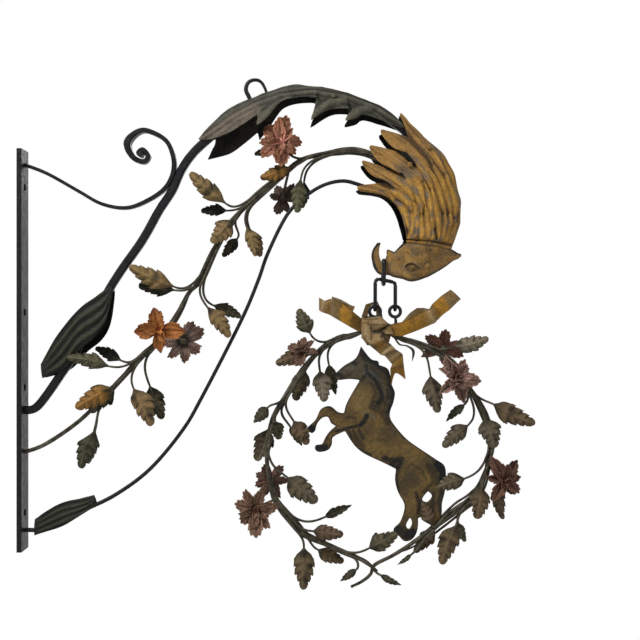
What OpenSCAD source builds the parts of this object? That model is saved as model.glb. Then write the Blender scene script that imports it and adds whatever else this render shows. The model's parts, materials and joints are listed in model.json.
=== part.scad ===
/* [Layout] */
// Side of one square of the squared drawing that every ornament is set out on
square = 16; // [14:0.5:18]
/* [Wall plate] */
// Height of the plate
plate_h = 640; // [620:5:700]
// Width of the plate
plate_w = 40; // [30:1:60]
// Thickness of the plate
plate_t = 8; // [5:0.5:12]
// Diameter of the bolt holes
bolt_d = 11; // [8:0.5:14]
// Distance between the outer pair of bolts
outer_bolts = 520; // [480:10:540]
// Distance between the inner pair of bolts
inner_bolts = 120; // [80:5:140]
/* [Bars] */
// Side of the square main bar
bar_side = 13; // [10:0.5:14]
// Chamfer on the corners of the main bar
bar_chamfer = 2.5; // [1:0.25:3.5]
// Thickness of the scroll strip, in the plane of the sign
scroll_t = 6; // [5:0.25:7]
// Depth of the scroll strip, across the sign
scroll_depth = 12; // [8:0.5:16]
// Diameter of the brace rod
brace_d = 6; // [5:0.25:8]
// Diameter of the garland stem at its swelling
stem_d = 10; // [8:0.5:12]
// Diameter of the wire of the loop on top
loop_wire = 5.5; // [4:0.25:7]
/* [Sheet work] */
// Thickness of the beaten shells of the head, neck and saddle leaf
shell_t = 2; // [1.2:0.1:3]
// Thickness of the ribbon sheet
ribbon_t = 1.6; // [1:0.1:2.4]
// Thickness of a leaf along its midrib
leaf_t = 3; // [2:0.25:4.5]
// Diameter of a leaf or flower stalk
stalk_d = 3.6; // [2.5:0.1:5]
// Thickness of a petal
petal_t = 1.6; // [1:0.1:2.5]
// How far the neck swells out from its edges
neck_swell = 22; // [16:1:26]
// Thickness of the horse plate
horse_t = 4; // [2.5:0.25:6]
/* [Links] */
// Diameter of the wire of the ring in the beak
ring_wire = 6; // [5:0.25:7]
// Clear width inside the ring, across the sign
ring_clear = 24; // [23:0.5:30]
// Diameter of the wire of the shackle
shackle_wire = 6; // [5:0.25:7]
// Diameter of the wire of the wreath's eyes
eye_wire = 5.5; // [4.5:0.25:6.5]
// Clear diameter inside an eye
eye_clear = 12; // [11:0.5:15]
// Thickness of the beak across the sign
beak_t = 16; // [12:0.5:18]
// Play between links that move on each other
link_play = 0.35; // [0.2:0.05:0.6]
// Diameter of a rivet shank
rivet_d = 5; // [4:0.25:6]
// Diameter of a rivet head
rivet_head = 9; // [7:0.5:11]
// Diameter of the wreath branches at their thickest
branch_d = 7.5; // [6:0.25:9]

/* [Hidden] */
garland_leaf_count = 11;
garland_flower_count = 4;
wreath_flower_count = 6;
$fn = 48;

iron = "#2b2c31";
olive = "#55533f";
gold = "#966c2d";
ochre = "#a57d46";
leaf_brown = "#695c4b";
rose = "#a5694b";
rust = "#5f3c32";
horse_brown = "#5f4b2d";

// Places on the drawing are [across, up] in squares from the wall and the middle of the plate.
// A third number, where there is one, is the depth in millimetres, negative towards the front.
function depth_of(p) = len(p) > 2 ? p[2] : 0;
function place(p) = [p[0] * square, depth_of(p), p[1] * square];
function deep(p, y) = [p[0], p[1], y];
function unit(v) = v / norm(v);
function mix(a, b, t) = a + (b - a) * t;

// A smooth run through the points, n steps between each pair.
function pick(pts, i) = pts[max(0, min(len(pts) - 1, i))];
function run_at(p0, p1, p2, p3, t) =
  (2 * p1 + (p2 - p0) * t + (2 * p0 - 5 * p1 + 4 * p2 - p3) * t * t
   + (3 * p1 - p0 - 3 * p2 + p3) * t * t * t) / 2;
function run(pts, n) = concat(
  [for (i = [0:len(pts) - 2]) for (k = [0:n - 1])
    run_at(pick(pts, i - 1), pts[i], pts[i + 1], pick(pts, i + 2), k / n)],
  [pts[len(pts) - 1]]);
function along(pts, t) =
  let (s = t * (len(pts) - 1), i = min(len(pts) - 2, floor(s)))
  run_at(pick(pts, i - 1), pts[i], pts[i + 1], pick(pts, i + 2), s - i);

// A closed skin over rings that hold the same number of points.
module skin(rings) {
  m = len(rings[0]);
  last = (len(rings) - 1) * m;
  sides = [for (i = [0:len(rings) - 2]) for (j = [0:m - 1])
    let (a = i * m + j, b = i * m + (j + 1) % m)
    each [[a, b + m, b], [a, a + m, b + m]]];
  start = [for (j = [1:m - 2]) [0, j, j + 1]];
  end = [for (j = [1:m - 2]) [last, last + j + 1, last + j]];
  polyhedron(points = [for (r = rings) each r], faces = concat(sides, start, end));
}

// One ring of a section at a point, square to the direction of travel.
function ring(p, dir, section, roll = 0) =
  let (t = unit(dir))
  let (n0 = unit([0, 1, 0] - t[1] * t))
  let (s0 = cross(n0, t))
  let (s = s0 * cos(roll) + n0 * sin(roll))
  let (n = n0 * cos(roll) - s0 * sin(roll))
  [for (q = section) p + q[0] * s + q[1] * n];
function heading(path, i) = pick(path, i + 1) - pick(path, i - 1);
function round_section(r, sides) = [for (k = [0:sides - 1]) r * [cos(360 * k / sides), sin(360 * k / sides)]];
function box_section(w, d, c) = [
  [w, c - d], [w, d - c], [w - c, d], [c - w, d],
  [-w, d - c], [-w, c - d], [c - w, -d], [w - c, -d]];

// A round rod along a path whose radius follows a list of radii from end to end.
module rod(path, radii, sides, first) {
  n = len(path) - 1;
  skin([for (i = [0:n])
    ring(path[i], i == 0 && !is_undef(first) ? first : heading(path, i),
      round_section(along(radii, i / n), sides))]);
}

// A sheet through rows of points that run left to right, each row from top to bottom.
module sheet(rows, t, inward) {
  m = len(rows[0]);
  n = len(rows);
  half = n * m;
  back = [for (i = [0:n - 1]) for (p = rows[i])
    p + t * (is_undef(inward) ? [0, 1, 0] : unit(inward[i]))];
  cells = [for (i = [0:n - 2]) for (j = [0:m - 2])
    let (a = i * m + j, b = a + m)
    each [[a, b, b + 1], [a, b + 1, a + 1],
          [half + a, half + b + 1, half + b], [half + a, half + a + 1, half + b + 1]]];
  rims = [for (i = [0:n - 2])
    let (a = i * m, b = a + m, c = b + m - 1, d = b - 1)
    each [[a, half + a, half + b], [a, half + b, b],
          [d, half + c, half + d], [d, c, half + c]]];
  ends = [for (j = [0:m - 2])
    let (a = j, b = (n - 1) * m + j)
    each [[half + a, a, a + 1], [half + a, a + 1, half + a + 1],
          [half + b, b + 1, b], [half + b, half + b + 1, b + 1]]];
  polyhedron(points = concat([for (r = rows) each r], back), faces = concat(cells, rims, ends));
}

// A stalk with a lobed, ridged blade: [foot, base, tip, depth at the base, depth at the tip],
// and a sixth number where the blade is broader or narrower than the usual form.
leaf_form = [[0, 0.04], [0.1, 0.19], [0.25, 0.27], [0.31, 0.2], [0.47, 0.25], [0.54, 0.16],
  [0.68, 0.17], [0.74, 0.1], [0.9, 0.085], [1, 0.02]];
leaf_curl = 0.22;
leaf_arch = 0.07;
function blade_section(w, h, c) = [[w, c], [0, h], [-w, c], [0, -h]];
module leaf(spec) {
  foot = place(spec[0]);
  base = place(deep(spec[1], spec[3]));
  tip = place(deep(spec[2], spec[4]));
  span = norm(tip - base);
  side = spec[3] < 0 ? 1 : -1;
  breadth = len(spec) > 5 ? spec[5] : 1;
  stalk = stalk_d / 2;
  blade = [for (f = leaf_form) mix(base, tip, f[0]) + [0, -side * leaf_arch * span * sin(180 * f[0]), 0]];
  path = concat([foot, mix(foot, base, 0.55) + [0, spec[3] * 0.2, 0]], blade);
  skin([for (i = [0:len(path) - 1])
    i < 2
      ? ring(path[i], heading(path, i), blade_section(stalk, stalk, 0))
      : let (f = leaf_form[i - 2], w = max(f[1] * span * breadth, 0.4))
        ring(path[i], heading(path, i),
          blade_section(w, min(leaf_t / 2, w), side * leaf_curl * (w - 0.4)))]);
}

// A stalk that opens into a dish of petals: [foot, centre, depth, radius, facing].
petals = 6;
petal_form = [0.58, 0.94, 1];
module flower(spec) {
  foot = place(spec[0]);
  facing = unit(spec[4]);
  centre = place(deep(spec[1], spec[2]));
  r = spec[3];
  neck = centre - facing * 0.3 * r;
  lean = cross(facing, neck - foot);
  s = norm(lean) > 1 ? unit(lean) : unit(cross(facing, [0, 0, 1]));
  stalk = stalk_d / 2;
  count = petals * len(petal_form);
  function circle_at(p, dir, radii) =
    let (n = cross(unit(dir), s))
    [for (k = [0:count - 1])
      p + radii[k % len(radii)] * (cos(360 * k / count) * s + sin(360 * k / count) * n)];
  skin([
    circle_at(foot, neck - foot, [stalk]),
    circle_at(neck, facing + unit(neck - foot), [stalk]),
    circle_at(centre - facing * petal_t, facing, [0.34 * r]),
    circle_at(centre + facing * 0.12 * r, facing, r * petal_form),
    circle_at(centre + facing * (0.12 * r + petal_t), facing, (r - petal_t) * petal_form),
    circle_at(centre + facing * petal_t, facing, [0.4 * r]),
    circle_at(centre + facing * petal_t, facing, [0.22 * r]),
    circle_at(centre + facing * (petal_t + 0.14 * r), facing, [0.12 * r])]);
}

// The points of a round bend of radius r at the corner b of the run from a to c.
bend_steps = 5;
function bend_at(a, b, c, r) =
  let (u = unit(b - a), v = unit(c - b))
  let (turn = atan2(u[0] * v[1] - u[1] * v[0], u * v))
  let (start = b - u * r * tan(abs(turn) / 2))
  let (centre = start + r * sign(turn) * [-u[1], u[0]])
  let (arm = start - centre)
  [for (k = [0:bend_steps])
    let (w = turn * k / bend_steps)
    centre + [arm[0] * cos(w) - arm[1] * sin(w), arm[0] * sin(w) + arm[1] * cos(w)]];

// A wire bent in one plane, given the direction square to that plane.
wire_sides = 8;
module flat_wire(path, square_to, r) {
  skin([for (i = [0:len(path) - 1])
    let (t = unit(heading(path, i)))
    let (s = cross(square_to, t))
    [for (q = round_section(r, wire_sides)) path[i] + q[0] * s + q[1] * square_to]]);
}

// A rivet across the sign, from its front head to its back head.
module rivet(at, half) {
  head_h = rivet_head / 4;
  translate(place(at))
    rotate([90, 0, 0]) {
      translate([0, 0, -half])
        cylinder(h = 2 * half, d = rivet_d);
      for (m = [0, 1])
        mirror([0, 0, m])
          translate([0, 0, half])
            cylinder(h = head_h, d1 = rivet_head, d2 = rivet_d);
    }
}

// Bars and stems, from the wall outwards
at_wall = plate_t / square;
main_line = [[at_wall, -6], [1.8, -5.6], [4, -2.6], [6, 0.5], [9.2, 6.5], [12.2, 10.9], [13.9, 13.9],
  [15.2, 15.9], [16.1, 17.9], [17.1, 19.4], [18.6, 20.9], [22, 23.6], [27.4, 25.7], [32.5, 25],
  [37, 23], [40, 20.2], [41.2, 17], [40.8, 14], [39.6, 11.2], [39.6, 9.6], [40.6, 8.2]];
scroll_line = [[at_wall, 18.5], [2.8, 17.6], [6, 15.8], [8.2, 14.6], [10.6, 14.2], [12.7, 14.9],
  [14.65, 16.3], [15.45, 18.4], [14.8, 20.7], [13.1, 21.8], [11.9, 21.8], [10.8, 20.7],
  [11.3, 19.3], [12.4, 18.8], [12.9, 19.4], [12.3, 19.9]];
stem_line = [[at_wall, -10.2], [2.6, -9.4], [6, -7], [9.4, -3.6], [12.1, -0.8], [13.6, 0.6], [15.4, 3],
  [16.9, 5.7], [18, 6.9], [19.7, 10.4], [21.5, 13.3], [23.6, 15.3], [26, 17.3], [28.1, 19],
  [31.2, 19.8], [34, 19.9], [37, 18.7], [38.8, 18.2]];
stem_swell = [0.8, 0.8, 0.9, 1, 0.75, 1, 0.7, 0.75, 1, 0.6];
brace_line = [[at_wall, -18], [3, -17.8], [6, -16.2], [9.5, -14.5], [13, -11.9], [16.2, -8.1], [18.2, -4.7],
  [22.1, 2.9], [23.8, 6.9], [24.8, 9.7], [26.7, 13.5], [28.6, 15.4], [30.4, 16.5], [32.3, 16.9], [34, 16.5],
  [36.5, 15.6], [39, 15], [41.2, 15.2]];
brace_swell = [1.2, 1.1, 1, 1, 1, 1, 1.1, 1.1];
loop_line = [[23, 24.5], [22.7, 25.7], [22.7, 26.6], [23.4, 27], [24.1, 26.8], [24.6, 25.9], [24.7, 25]];

// Saddle leaf over the bar: [top edge, bottom edge, depth of the bottom edge]
saddle_ridge = loop_wire / 2 + 0.4 + shell_t;
saddle_front = [
  [[17.9, 21.1], [18, 20.9], 9.6], [[19.3, 22.7], [19.3, 21], 12], [[20.8, 24], [21, 21.6], 15],
  [[22.3, 24.8], [22.6, 22.5], 20], [[23.4, 25.2], [23.8, 23.3], 22], [[24.2, 25.6], [23.8, 22.1], 32],
  [[25.2, 25.9], [24.8, 22.9], 28], [[26.1, 26.2], [26.1, 24.5], 22], [[27.4, 26.5], [27.6, 25], 20],
  [[28.6, 26.4], [29, 25.1], 20], [[29.7, 26.3], [29.7, 25], 22], [[30.2, 26.3], [29.1, 22.6], 30],
  [[31, 26.1], [30.2, 23.4], 26], [[31.8, 25.9], [31.5, 23.9], 20], [[32.7, 25.7], [33, 23.9], 20],
  [[33.2, 25.5], [32.5, 22.6], 26], [[34, 25.2], [33.6, 22.9], 24], [[34.8, 24.9], [34.4, 23.3], 20],
  [[36, 24.4], [36.1, 22.8], 16], [[37.2, 23.5], [37.2, 22.4], 12], [[38.1, 22.7], [38.1, 22.1], 10.5],
  [[38.4, 22.3], [38.4, 22.1], 10]];
saddle_back = [
  [[17.9, 21.1], [18, 20.9], 9.6], [[19.3, 22.7], [19.6, 21.2], 14], [[20.4, 23.7], [18.5, 19.4], 36],
  [[21.4, 24.3], [20.7, 20], 40], [[22.3, 24.8], [22.3, 21.1], 40], [[23.4, 25.2], [23.6, 22.1], 34],
  [[24.2, 25.6], [23.8, 21.4], 40], [[25.2, 25.9], [24.8, 22.5], 32], [[26.1, 26.2], [26.1, 24.3], 24],
  [[27.4, 26.5], [27.6, 24.9], 22], [[28.6, 26.4], [29, 25], 22], [[29.7, 26.3], [29.7, 24.9], 24],
  [[30.2, 26.3], [29, 22.6], 32], [[31, 26.1], [30.2, 23.3], 28], [[31.8, 25.9], [31.5, 23.8], 22],
  [[32.7, 25.7], [33, 23.8], 22],
  [[33.2, 25.5], [32.5, 22.6], 28], [[34, 25.2], [33.6, 22.8], 26], [[34.8, 24.9], [34.4, 23.2], 22],
  [[36, 24.4], [36.1, 22.7], 18], [[37.2, 23.5], [37.2, 22.3], 14], [[38.1, 22.7], [38.1, 22], 11],
  [[38.4, 22.3], [38.4, 22], 10]];
saddle_steps = 4;
saddle_rivet_at = [31.3, 25.2];
husk_form = [[[2.2, -1.4], [2.4, -2.8], 9.5], [[4, 1.6], [4.6, -1.8], 12], [[6, 4], [6, 0], 13],
  [[7.7, 5.3], [7.6, 1.3], 12], [[8.6, 6], [8.7, 2.9], 10], [[9.2, 6.4], [9.4, 5.8], 8]];
// How far the lower edge of the husk's back half shows past the front half
husk_back_reach = [0.5, -0.3];
brace_leaf_form = [[[1.5, -16.9], [1.5, -18.5], 6], [[4, -15.4], [4.2, -17.6], 8],
  [[6, -14.9], [6, -16.6], 8], [[7.4, -14.5], [7.7, -15.5], 5]];

// Neck: each line runs from a feather's end down to the collar
feather_ends = [[33.7, 15.8, 22], [33.9, 16.4, 24], [36.6, 16.6, 22], [34.2, 18.5, 25], [34.3, 18.9, 25],
  [37.6, 17.7, 24], [34.9, 20.1, 25], [35.1, 20.4, 25], [38.6, 19.5, 24], [36, 21.7, 22],
  [36.2, 22, 21], [38.8, 21.2, 20], [37.9, 23.5, 12], [38.1, 23.7, 10], [38.6, 23, 3]];
neck_inner = [[36.3, 15.3], [37.7, 14.1], [38.4, 12.2], [38.6, 10.7]];
neck_outer = [[42.6, 19], [43.9, 15.2], [43.9, 12.6], [43.1, 10]];
neck_edge_depth = [16, 16, 15, 14];
front_reach = [0, 0, 0, 0];
back_reach = [0.2, 0.35, 0.35, 0.2];
neck_rivet_spots = [[38.8, 18.2, 33], [39.4, 11.2, 27], [40.8, 20.1, 15]];
head_under = [[38.3, 7.1], [39.1, 6.85], [40, 7], [40.9, 7.35], [41.7, 7.8], [42.5, 8.3], [43.3, 8.9]];
head_swell = 8;
head_steps = 5;
eye_rivet_at = [40.6, 8.3];
cheek_depth = beak_t / 2 + shell_t;
cheek_front = [[36.7, 10], [36.7, 7.6]];
cheek_back = [[37.4, 9.7], [37.4, 7.3]];
crest = [[[43.7, 9.6], [43.8, 9.1]], [[44.1, 9.45], [44.1, 9.35]]];

// Links: the ring hangs in the mouth, the shackle in the ring and the eyes in the shackle
mouth = [36.35, 8.95];
ring_foot = [mouth[0], 6.57];
seat_r = ring_wire / 2 + link_play;
ring_half = (ring_clear + ring_wire) / 2;
shackle_tilt = 12;
shackle_rise = ((ring_wire + shackle_wire) / 2 + link_play) / cos(shackle_tilt);
leg_left = 35.5;
leg_right = 37.5;
eye_axis = 4.4;
hook_r = (eye_wire + shackle_wire) / 2 + link_play;
eye_r = (eye_clear + eye_wire) / 2;
shank_left = [34.8, 2.7];
shank_right = [37.6, 2.6];

// Wreath: two branches from the bow, crossing at the bottom
cross_depth = branch_d * 0.25;
left_line = [deep(shank_left, 0), [34.4, 2, 0], [33.2, 1.4, 0], [32, 1.1, 0], [30.4, 0.2, 0], [28.9, -1.1, 0],
  [27.8, -2.6, 0], [26.6, -4.5, 0], [25.2, -7, 0], [24.7, -10.5, 0], [25.1, -13.6, 0], [25.8, -15.3, 0],
  [27.4, -17.3, 0], [28.5, -18.4, 0], [30.6, -19.5, 0], [32.5, -20.3, 0], [34.4, -21, -cross_depth],
  [35.7, -22.1, -cross_depth]];
right_line = [deep(shank_right, 0), [37, 1.9, 0], [37.6, 1.3, 0], [38.7, 1, 0], [40.2, 0.4, 0],
  [41.7, -0.3, 0], [43.7, -1.7, 0], [44.9, -3.8, 0], [46.4, -6.4, 0], [47.1, -9.1, 0], [47, -10.5, 0],
  [46.2, -13.4, 0], [45.1, -14.8, 0], [43.7, -15.7, 0], [42.1, -17, 0], [39.8, -18.9, 0], [37.5, -20.4, 0],
  [35.5, -21.5, cross_depth], [35.1, -22.4, cross_depth], [34.3, -23.1, cross_depth],
  [33.1, -23.7, cross_depth]];
branch_swell = [0.75, 0.95, 1, 0.9, 0.8, 0.8, 0.75, 0.7, 0.6];
tendril_line = [[37.4, 1.4, 0], [37.9, 0.6, -4], [38.7, 0.4, -5], [39.3, -0.1, -5], [39.2, -1.1, -4]];

// Bow: rows from left to right, each [top, middle, bottom]
knot_form = [
  [[36.2, 3.5, 14], [36.2, 3, 14], [36.2, 2.4, 13]], [[35.7, 4.6, 15], [35.7, 3.4, 15], [35.7, 2, 14]],
  [[34.7, 4.4, 14], [34.7, 3, 14], [34.7, 1.5, 13]], [[34.2, 3.8, 6], [34.1, 2.6, 6], [34.2, 1.4, 6]],
  [[34.2, 3.2, -5], [34.1, 2.2, -5], [34.2, 1.2, -5]], [[34.7, 3.1, -12], [34.7, 1.8, -13], [34.7, 0.5, -12]],
  [[35.7, 3.2, -13], [35.7, 1.8, -15], [35.7, 0.4, -13]],
  [[37, 2.6, -3.6], [37.1, 1.7, -4], [36.9, 0.8, -3.6]]];
knot_inward = [[0, -1, 0], [0, -1, 0], [0.3, -1, 0], [1, -0.5, 0], [1, 0.5, 0], [0.3, 1, 0], [0, 1, 0],
  [0, 1, 0]];
left_ribbon_form = [
  [[29.9, 5.2, -6], [29.9, 4.6, -8], [29.9, 4, -6]], [[31, 5.1, -12], [31, 4.3, -14], [31, 3.5, -11]],
  [[32, 4.8, -4], [32, 3.8, -6], [32, 2.9, -4]], [[33.2, 3.9, -10], [33.1, 3.1, -12], [33, 2.3, -9]],
  [[34.2, 3.1, -3], [34.2, 2.4, -4], [34.2, 1.7, -3]]];
right_ribbon_form = [
  [[36.7, 2.5, -7], [36.8, 2, -8], [36.8, 1.4, -7]], [[38.2, 2.8, -11], [38.2, 2.1, -12], [38.2, 1.4, -11]],
  [[39.4, 3.9, -4], [39.5, 2.9, -6], [39.6, 1.9, -4]], [[41, 4.6, -11], [41.2, 3.6, -13], [41.4, 2.7, -11]],
  [[42.1, 5.4, -5], [42.5, 4.6, -7], [42.9, 3.9, -5]], [[43, 6, -9], [43.5, 5.6, -10], [44, 5.1, -9]]];
tail_form = [
  [[34.9, 0.7, -11], [36.1, -0.4, -13], [37.1, -1.2, -9], [37, -2.2, -11], [37.1, -3.6, -8]],
  [[35.9, 0.8, -12], [36.9, 0.1, -14], [37.7, -0.9, -10], [37.6, -1.7, -12], [37.5, -2.3, -10]],
  [[36.9, 1, -10], [37.6, -0.2, -13], [38.2, -0.6, -9], [38.3, -1.7, -11], [38.5, -2.9, -9]]];

// Horse: runs from corner to corner, starting at the ear
horse_runs = [
  [[34.1, 0.4], [33.6, -0.8], [32.5, -1.5], [31.8, -2.1], [31.4, -2.5], [31.7, -3], [32.9, -2.9], [34, -3]],
  [[34, -3], [33.1, -4.5], [32.6, -5.5], [32.4, -6.3]],
  [[32.4, -6.3], [31.8, -6.2], [31, -5.6], [30.1, -5.9], [29.6, -6.9], [29, -7.5], [28.7, -7.8]],
  [[28.7, -7.8], [29.1, -8.3], [29.5, -8.1], [29.7, -7.4], [30.2, -6.8], [30.8, -6.7], [31.1, -7.3],
   [31.6, -7.6]],
  [[31.6, -7.6], [31, -8.1], [30.5, -8.8], [30.2, -9.4], [29.6, -9.5], [29.5, -9.9], [29.9, -10.2],
   [30.8, -10], [31.2, -9.4], [31.3, -8.7], [32.5, -8.1]],
  [[32.5, -8.1], [32.8, -8.6], [33.5, -9.6], [34.5, -10.4], [36.2, -11.2], [37.6, -11.9]],
  [[37.6, -11.9], [37.5, -13], [37.8, -14.2], [38.4, -15.3], [38.4, -16.1], [38, -17.2], [37.4, -17.8],
   [37.4, -18.3], [37.9, -18.6]],
  [[37.9, -18.6], [38.4, -19.1], [39.1, -19], [39.6, -18.4], [39.8, -17.6], [39.8, -16.8]],
  [[39.8, -16.8], [40.4, -16.7], [40.9, -17.3], [41.2, -17.8]],
  [[41.2, -17.8], [42.1, -16.7], [42.2, -15.3], [42.5, -14.1], [42.6, -12.4], [42.4, -11.5], [41.7, -11]],
  [[41.7, -11], [40.2, -10], [38.9, -9.1], [38, -8.2], [37.1, -7], [37, -6.2], [37.3, -5.4]],
  [[37.3, -5.4], [37.5, -4.3], [37.2, -3.5], [37, -2.4], [36.7, -1.8], [35.9, -1.5]],
  [[35.9, -1.5], [35.8, -1.1], [35.1, -0.9], [34.3, 0.1], [34.1, 0.4]]];
horse_gaps = [[[40.8, -14.1], [40.2, -14.9], [40.7, -15.2], [41.2, -14.6]],
  [[39, -16.7], [38.6, -17.5], [38.9, -17.9], [39.2, -17.3]]];

// Leaves: [foot, base, tip, depth at the base, depth at the tip, breadth]
garland_leaves = [
  [[[23.4, 15.1], [20.6, 14.6], [17.1, 17.6], -10, -14, 0.85], [[23.2, 15], [20.7, 14], [18, 14], 10, 16]],
  [[[22.4, 14.2], [21.1, 12.9], [19.2, 10.7], -11, -14, 1.25],
   [[20.9, 12.4], [21.7, 11.2], [20.2, 9.4], 9, 15]],
  [[[22.7, 14.5], [22.7, 12.3], [23.7, 9.3], -12, -16], [[22.5, 14.3], [22.9, 12.2], [24, 9.4], 12, 16]],
  [[[28, 18.9], [27.1, 18.2], [24.1, 17], -10, -16], [[27.7, 18.7], [25.6, 20.1], [23.4, 19.7], 10, 14]],
  [[[31, 19.7], [28.1, 17], [27.7, 13.6], -14, -16], [[30.6, 19.7], [28.4, 17], [28.2, 14.3], 14, 16]],
  [[[17.8, 6.7], [15.5, 6.3], [11.1, 8.3], -10, -16, 0.9], [[17.2, 6.1], [15.4, 6], [11.7, 6.5], 10, 16]],
  [[[17.6, 6.5], [18.8, 4.3], [21.1, 1.3], -11, -16], [[17.9, 6.8], [19.2, 4.5], [22, 3.3], 11, 16]],
  [[[12, -0.9], [9.1, -1.6], [5, -0.7], -13, -16, 0.85], [[12.3, -0.6], [10, -1.1], [7.4, 0.2], 12, 15]],
  [[[10.8, -2.1], [9.2, -3.7], [5.8, -5.7], -12, -17], [[10.4, -2.5], [9.3, -3.8], [6.8, -6.3], 11, 16]],
  [[[11.2, -1.7], [11.5, -3.9], [13.3, -7.5], -9, -15], [[12.8, -0.2], [12.9, -3.7], [14.1, -7], 10, 15]],
  [[[7.5, -5.5], [7.5, -8.1], [6.3, -11.7], -9, -14], [[7.2, -5.8], [7.4, -8.1], [6.5, -11.5], 9, 14]]];
left_upper = [
  [[30.6, 0.4], [29, 1.7], [27.9, 4.1], -6, -10], [[29.2, -0.9], [28.8, -0.5], [25.6, -1.3], -7, -12],
  [[28.7, -1.3], [28.5, -2.1], [27.5, -5.1], 9, 14], [[30, 0], [30, -2.1], [30.4, -5.1], -12, -16],
  [[30.9, 0.5], [30.9, -1.5], [31.6, -4.5], 1.5, 1.5]];
left_side = [
  [[25.8, -5.9], [24.7, -5.9], [23.6, -7.2], -9, -12, 1.4],
  [[25.3, -6.8], [25.5, -7.4], [25.8, -8.8], 9, 11, 1.2],
  [[25.1, -7.2], [24.8, -8], [23.6, -11.2], 9, 14], [[26.1, -5.3], [27.1, -7.1], [29.1, -9], -7, -6, 1.15],
  [[25.5, -6.4], [27, -7.7], [28.2, -9.7], 8, 10]];
left_lower = [
  [[24.7, -11.4], [26.8, -12.7], [29.7, -15.1], -8, -14, 1.15],
  [[27.2, -17.1], [30.5, -16.8], [33.2, -15.6], 8, 12, 0.8],
  [[27.9, -17.9], [29.3, -18], [32.3, -18.3], -9, -14],
  [[28.2, -18.1], [28.4, -19.7], [28.3, -23.8], -8, -14, 0.85]];
left_end = [
  [[28.8, -18.6], [29.8, -20.1], [32.4, -21.4], 9, 14], [[34, -20.9], [33.6, -21.8], [32, -22.9], -10, -14],
  [[32.1, -20.2], [34.9, -19.7], [37.7, -18.3], -8, -1.5, 1.15],
  [[35.5, -21.9], [36, -22.4], [38.1, -23.3], -6, -11, 0.75]];
right_upper = [
  [[41.5, -0.2], [43.4, 0.3], [46.7, 1.2], -9, -14, 0.9], [[40.1, 0.5], [41, -2.6], [41.7, -6.2], -8, -13],
  [[45.1, -4.1], [44.5, -5.5], [42.7, -7.2], 8, 13, 0.85]];
right_side = [
  [[45.2, -4.4], [44.7, -7.5], [42.2, -9.6], -8, -12, 0.85],
  [[45.8, -5.4], [46.4, -6.8], [47.3, -9.7], -10, -14, 1.2],
  [[45.7, -5.2], [47.3, -5.4], [51.3, -7.3], -8, -14, 0.85]];
right_lower = [
  [[46.9, -10.7], [44.4, -12.8], [41.4, -13.9], -6, -2, 0.85],
  [[46.4, -12.9], [46.1, -13.7], [45.5, -16.7], -9, -14],
  [[46.6, -12.2], [47.9, -13.4], [48.4, -17], 8, 13, 0.7],
  [[44.3, -15.4], [43.5, -17.5], [42, -21.2], -8, -14, 0.8]];
right_end = [
  [[44.5, -15.2], [43.9, -17.4], [44.6, -19.3], 8, 12], [[42.1, -17], [41.5, -18], [39.5, -20.4], 9, 14],
  [[40, -18.7], [39.1, -20.3], [37.7, -21.3], -9, -12, 0.75],
  [[41.9, -17.2], [41.1, -17.4], [40.2, -15.1], -8, -10]];

// Flowers: [foot, centre, depth, radius, facing]
garland_flowers = [
  [[26.5, 17.8], [26.1, 20.9], -16, 36, [0.1, -1, 0.25]], [[26.9, 18], [26.2, 15.3], 16, 25, [-0.1, 1, -0.2]],
  [[14.5, 1.8], [14.1, 2], -20, 34, [-0.1, -1, 0.1]], [[15, 2.4], [16.1, 1], 18, 29, [0.1, 1, -0.1]]];
wreath_flowers = [
  [[29.8, -0.2], [28.3, -0.1], -25, 24, [-0.2, -1, 0.2]], [[24.9, -12.8], [25, -13.2], 18, 29, [-0.1, 1, 0]],
  [[25.6, -14.9], [23.6, -15.8], -12, 35, [-0.1, -1, -0.1]], [[42, -0.5], [42.5, 0.1], 17, 30, [0, 1, 0.2]],
  [[43.9, -1.9], [43.5, -2.7], -20, 30, [0.1, -1, 0]], [[46.8, -11.5], [48.3, -12.8], -16, 31, [0.2, -1, 0]]];

module bar_along(pts, steps, section) {
  path = run([for (p = pts) place(p)], steps);
  skin([for (i = [0:len(path) - 1]) ring(path[i], i == 0 ? [1, 0, 0] : heading(path, i), section)]);
}

// Two edges joined by a curved web that swells to the given depth.
function web(top, bottom, y_top, y_bottom, steps, swell = 0) =
  [for (k = [0:steps])
    let (t = k / steps, p = mix(top, bottom, t))
    place(deep(p, -mix(y_top, y_bottom, sin(90 * t)) - swell * sin(180 * t)))];

module wall_plate() {
  color(iron)
    difference() {
      translate([0, -plate_w / 2, -plate_h / 2])
        cube([plate_t, plate_w, plate_h]);
      for (gap = [outer_bolts, inner_bolts], s = [-1, 1])
        translate([-1, 0, s * gap / 2])
          rotate([0, 90, 0])
            cylinder(h = plate_t + 2, d = bolt_d);
    }
}

module main_bar() {
  color(iron)
    bar_along(main_line, 2, box_section(bar_side / 2, bar_side / 2, bar_chamfer));
}

module scroll_bar() {
  color(iron)
    bar_along(scroll_line, 3, box_section(scroll_t / 2, scroll_depth / 2, 1));
}

module top_loop() {
  color(iron)
    rod(run([for (p = loop_line) place(p)], 3), [loop_wire, loop_wire] / 2, 8);
}

module husk_half(reach) {
  last = len(husk_form) - 1;
  color(olive)
    sheet([for (i = [0:last])
      let (f = husk_form[i])
      web(f[0], f[1] + reach * sin(180 * i / last), f[2] - 2, f[2], 3, 2)], shell_t);
}

module husk_front() {
  husk_half([0, 0]);
}

module husk_back() {
  mirror([0, 1, 0])
    husk_half(husk_back_reach);
}

module saddle_half(form) {
  last = len(form) - 1;
  color(olive)
    sheet([for (i = [0:last])
      web(form[i][0], form[i][1], i < 1 || i > last - 3 ? form[i][2] - 1 : saddle_ridge, form[i][2],
        saddle_steps)], shell_t);
}

module saddle_leaf_front() {
  saddle_half(saddle_front);
}

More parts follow.
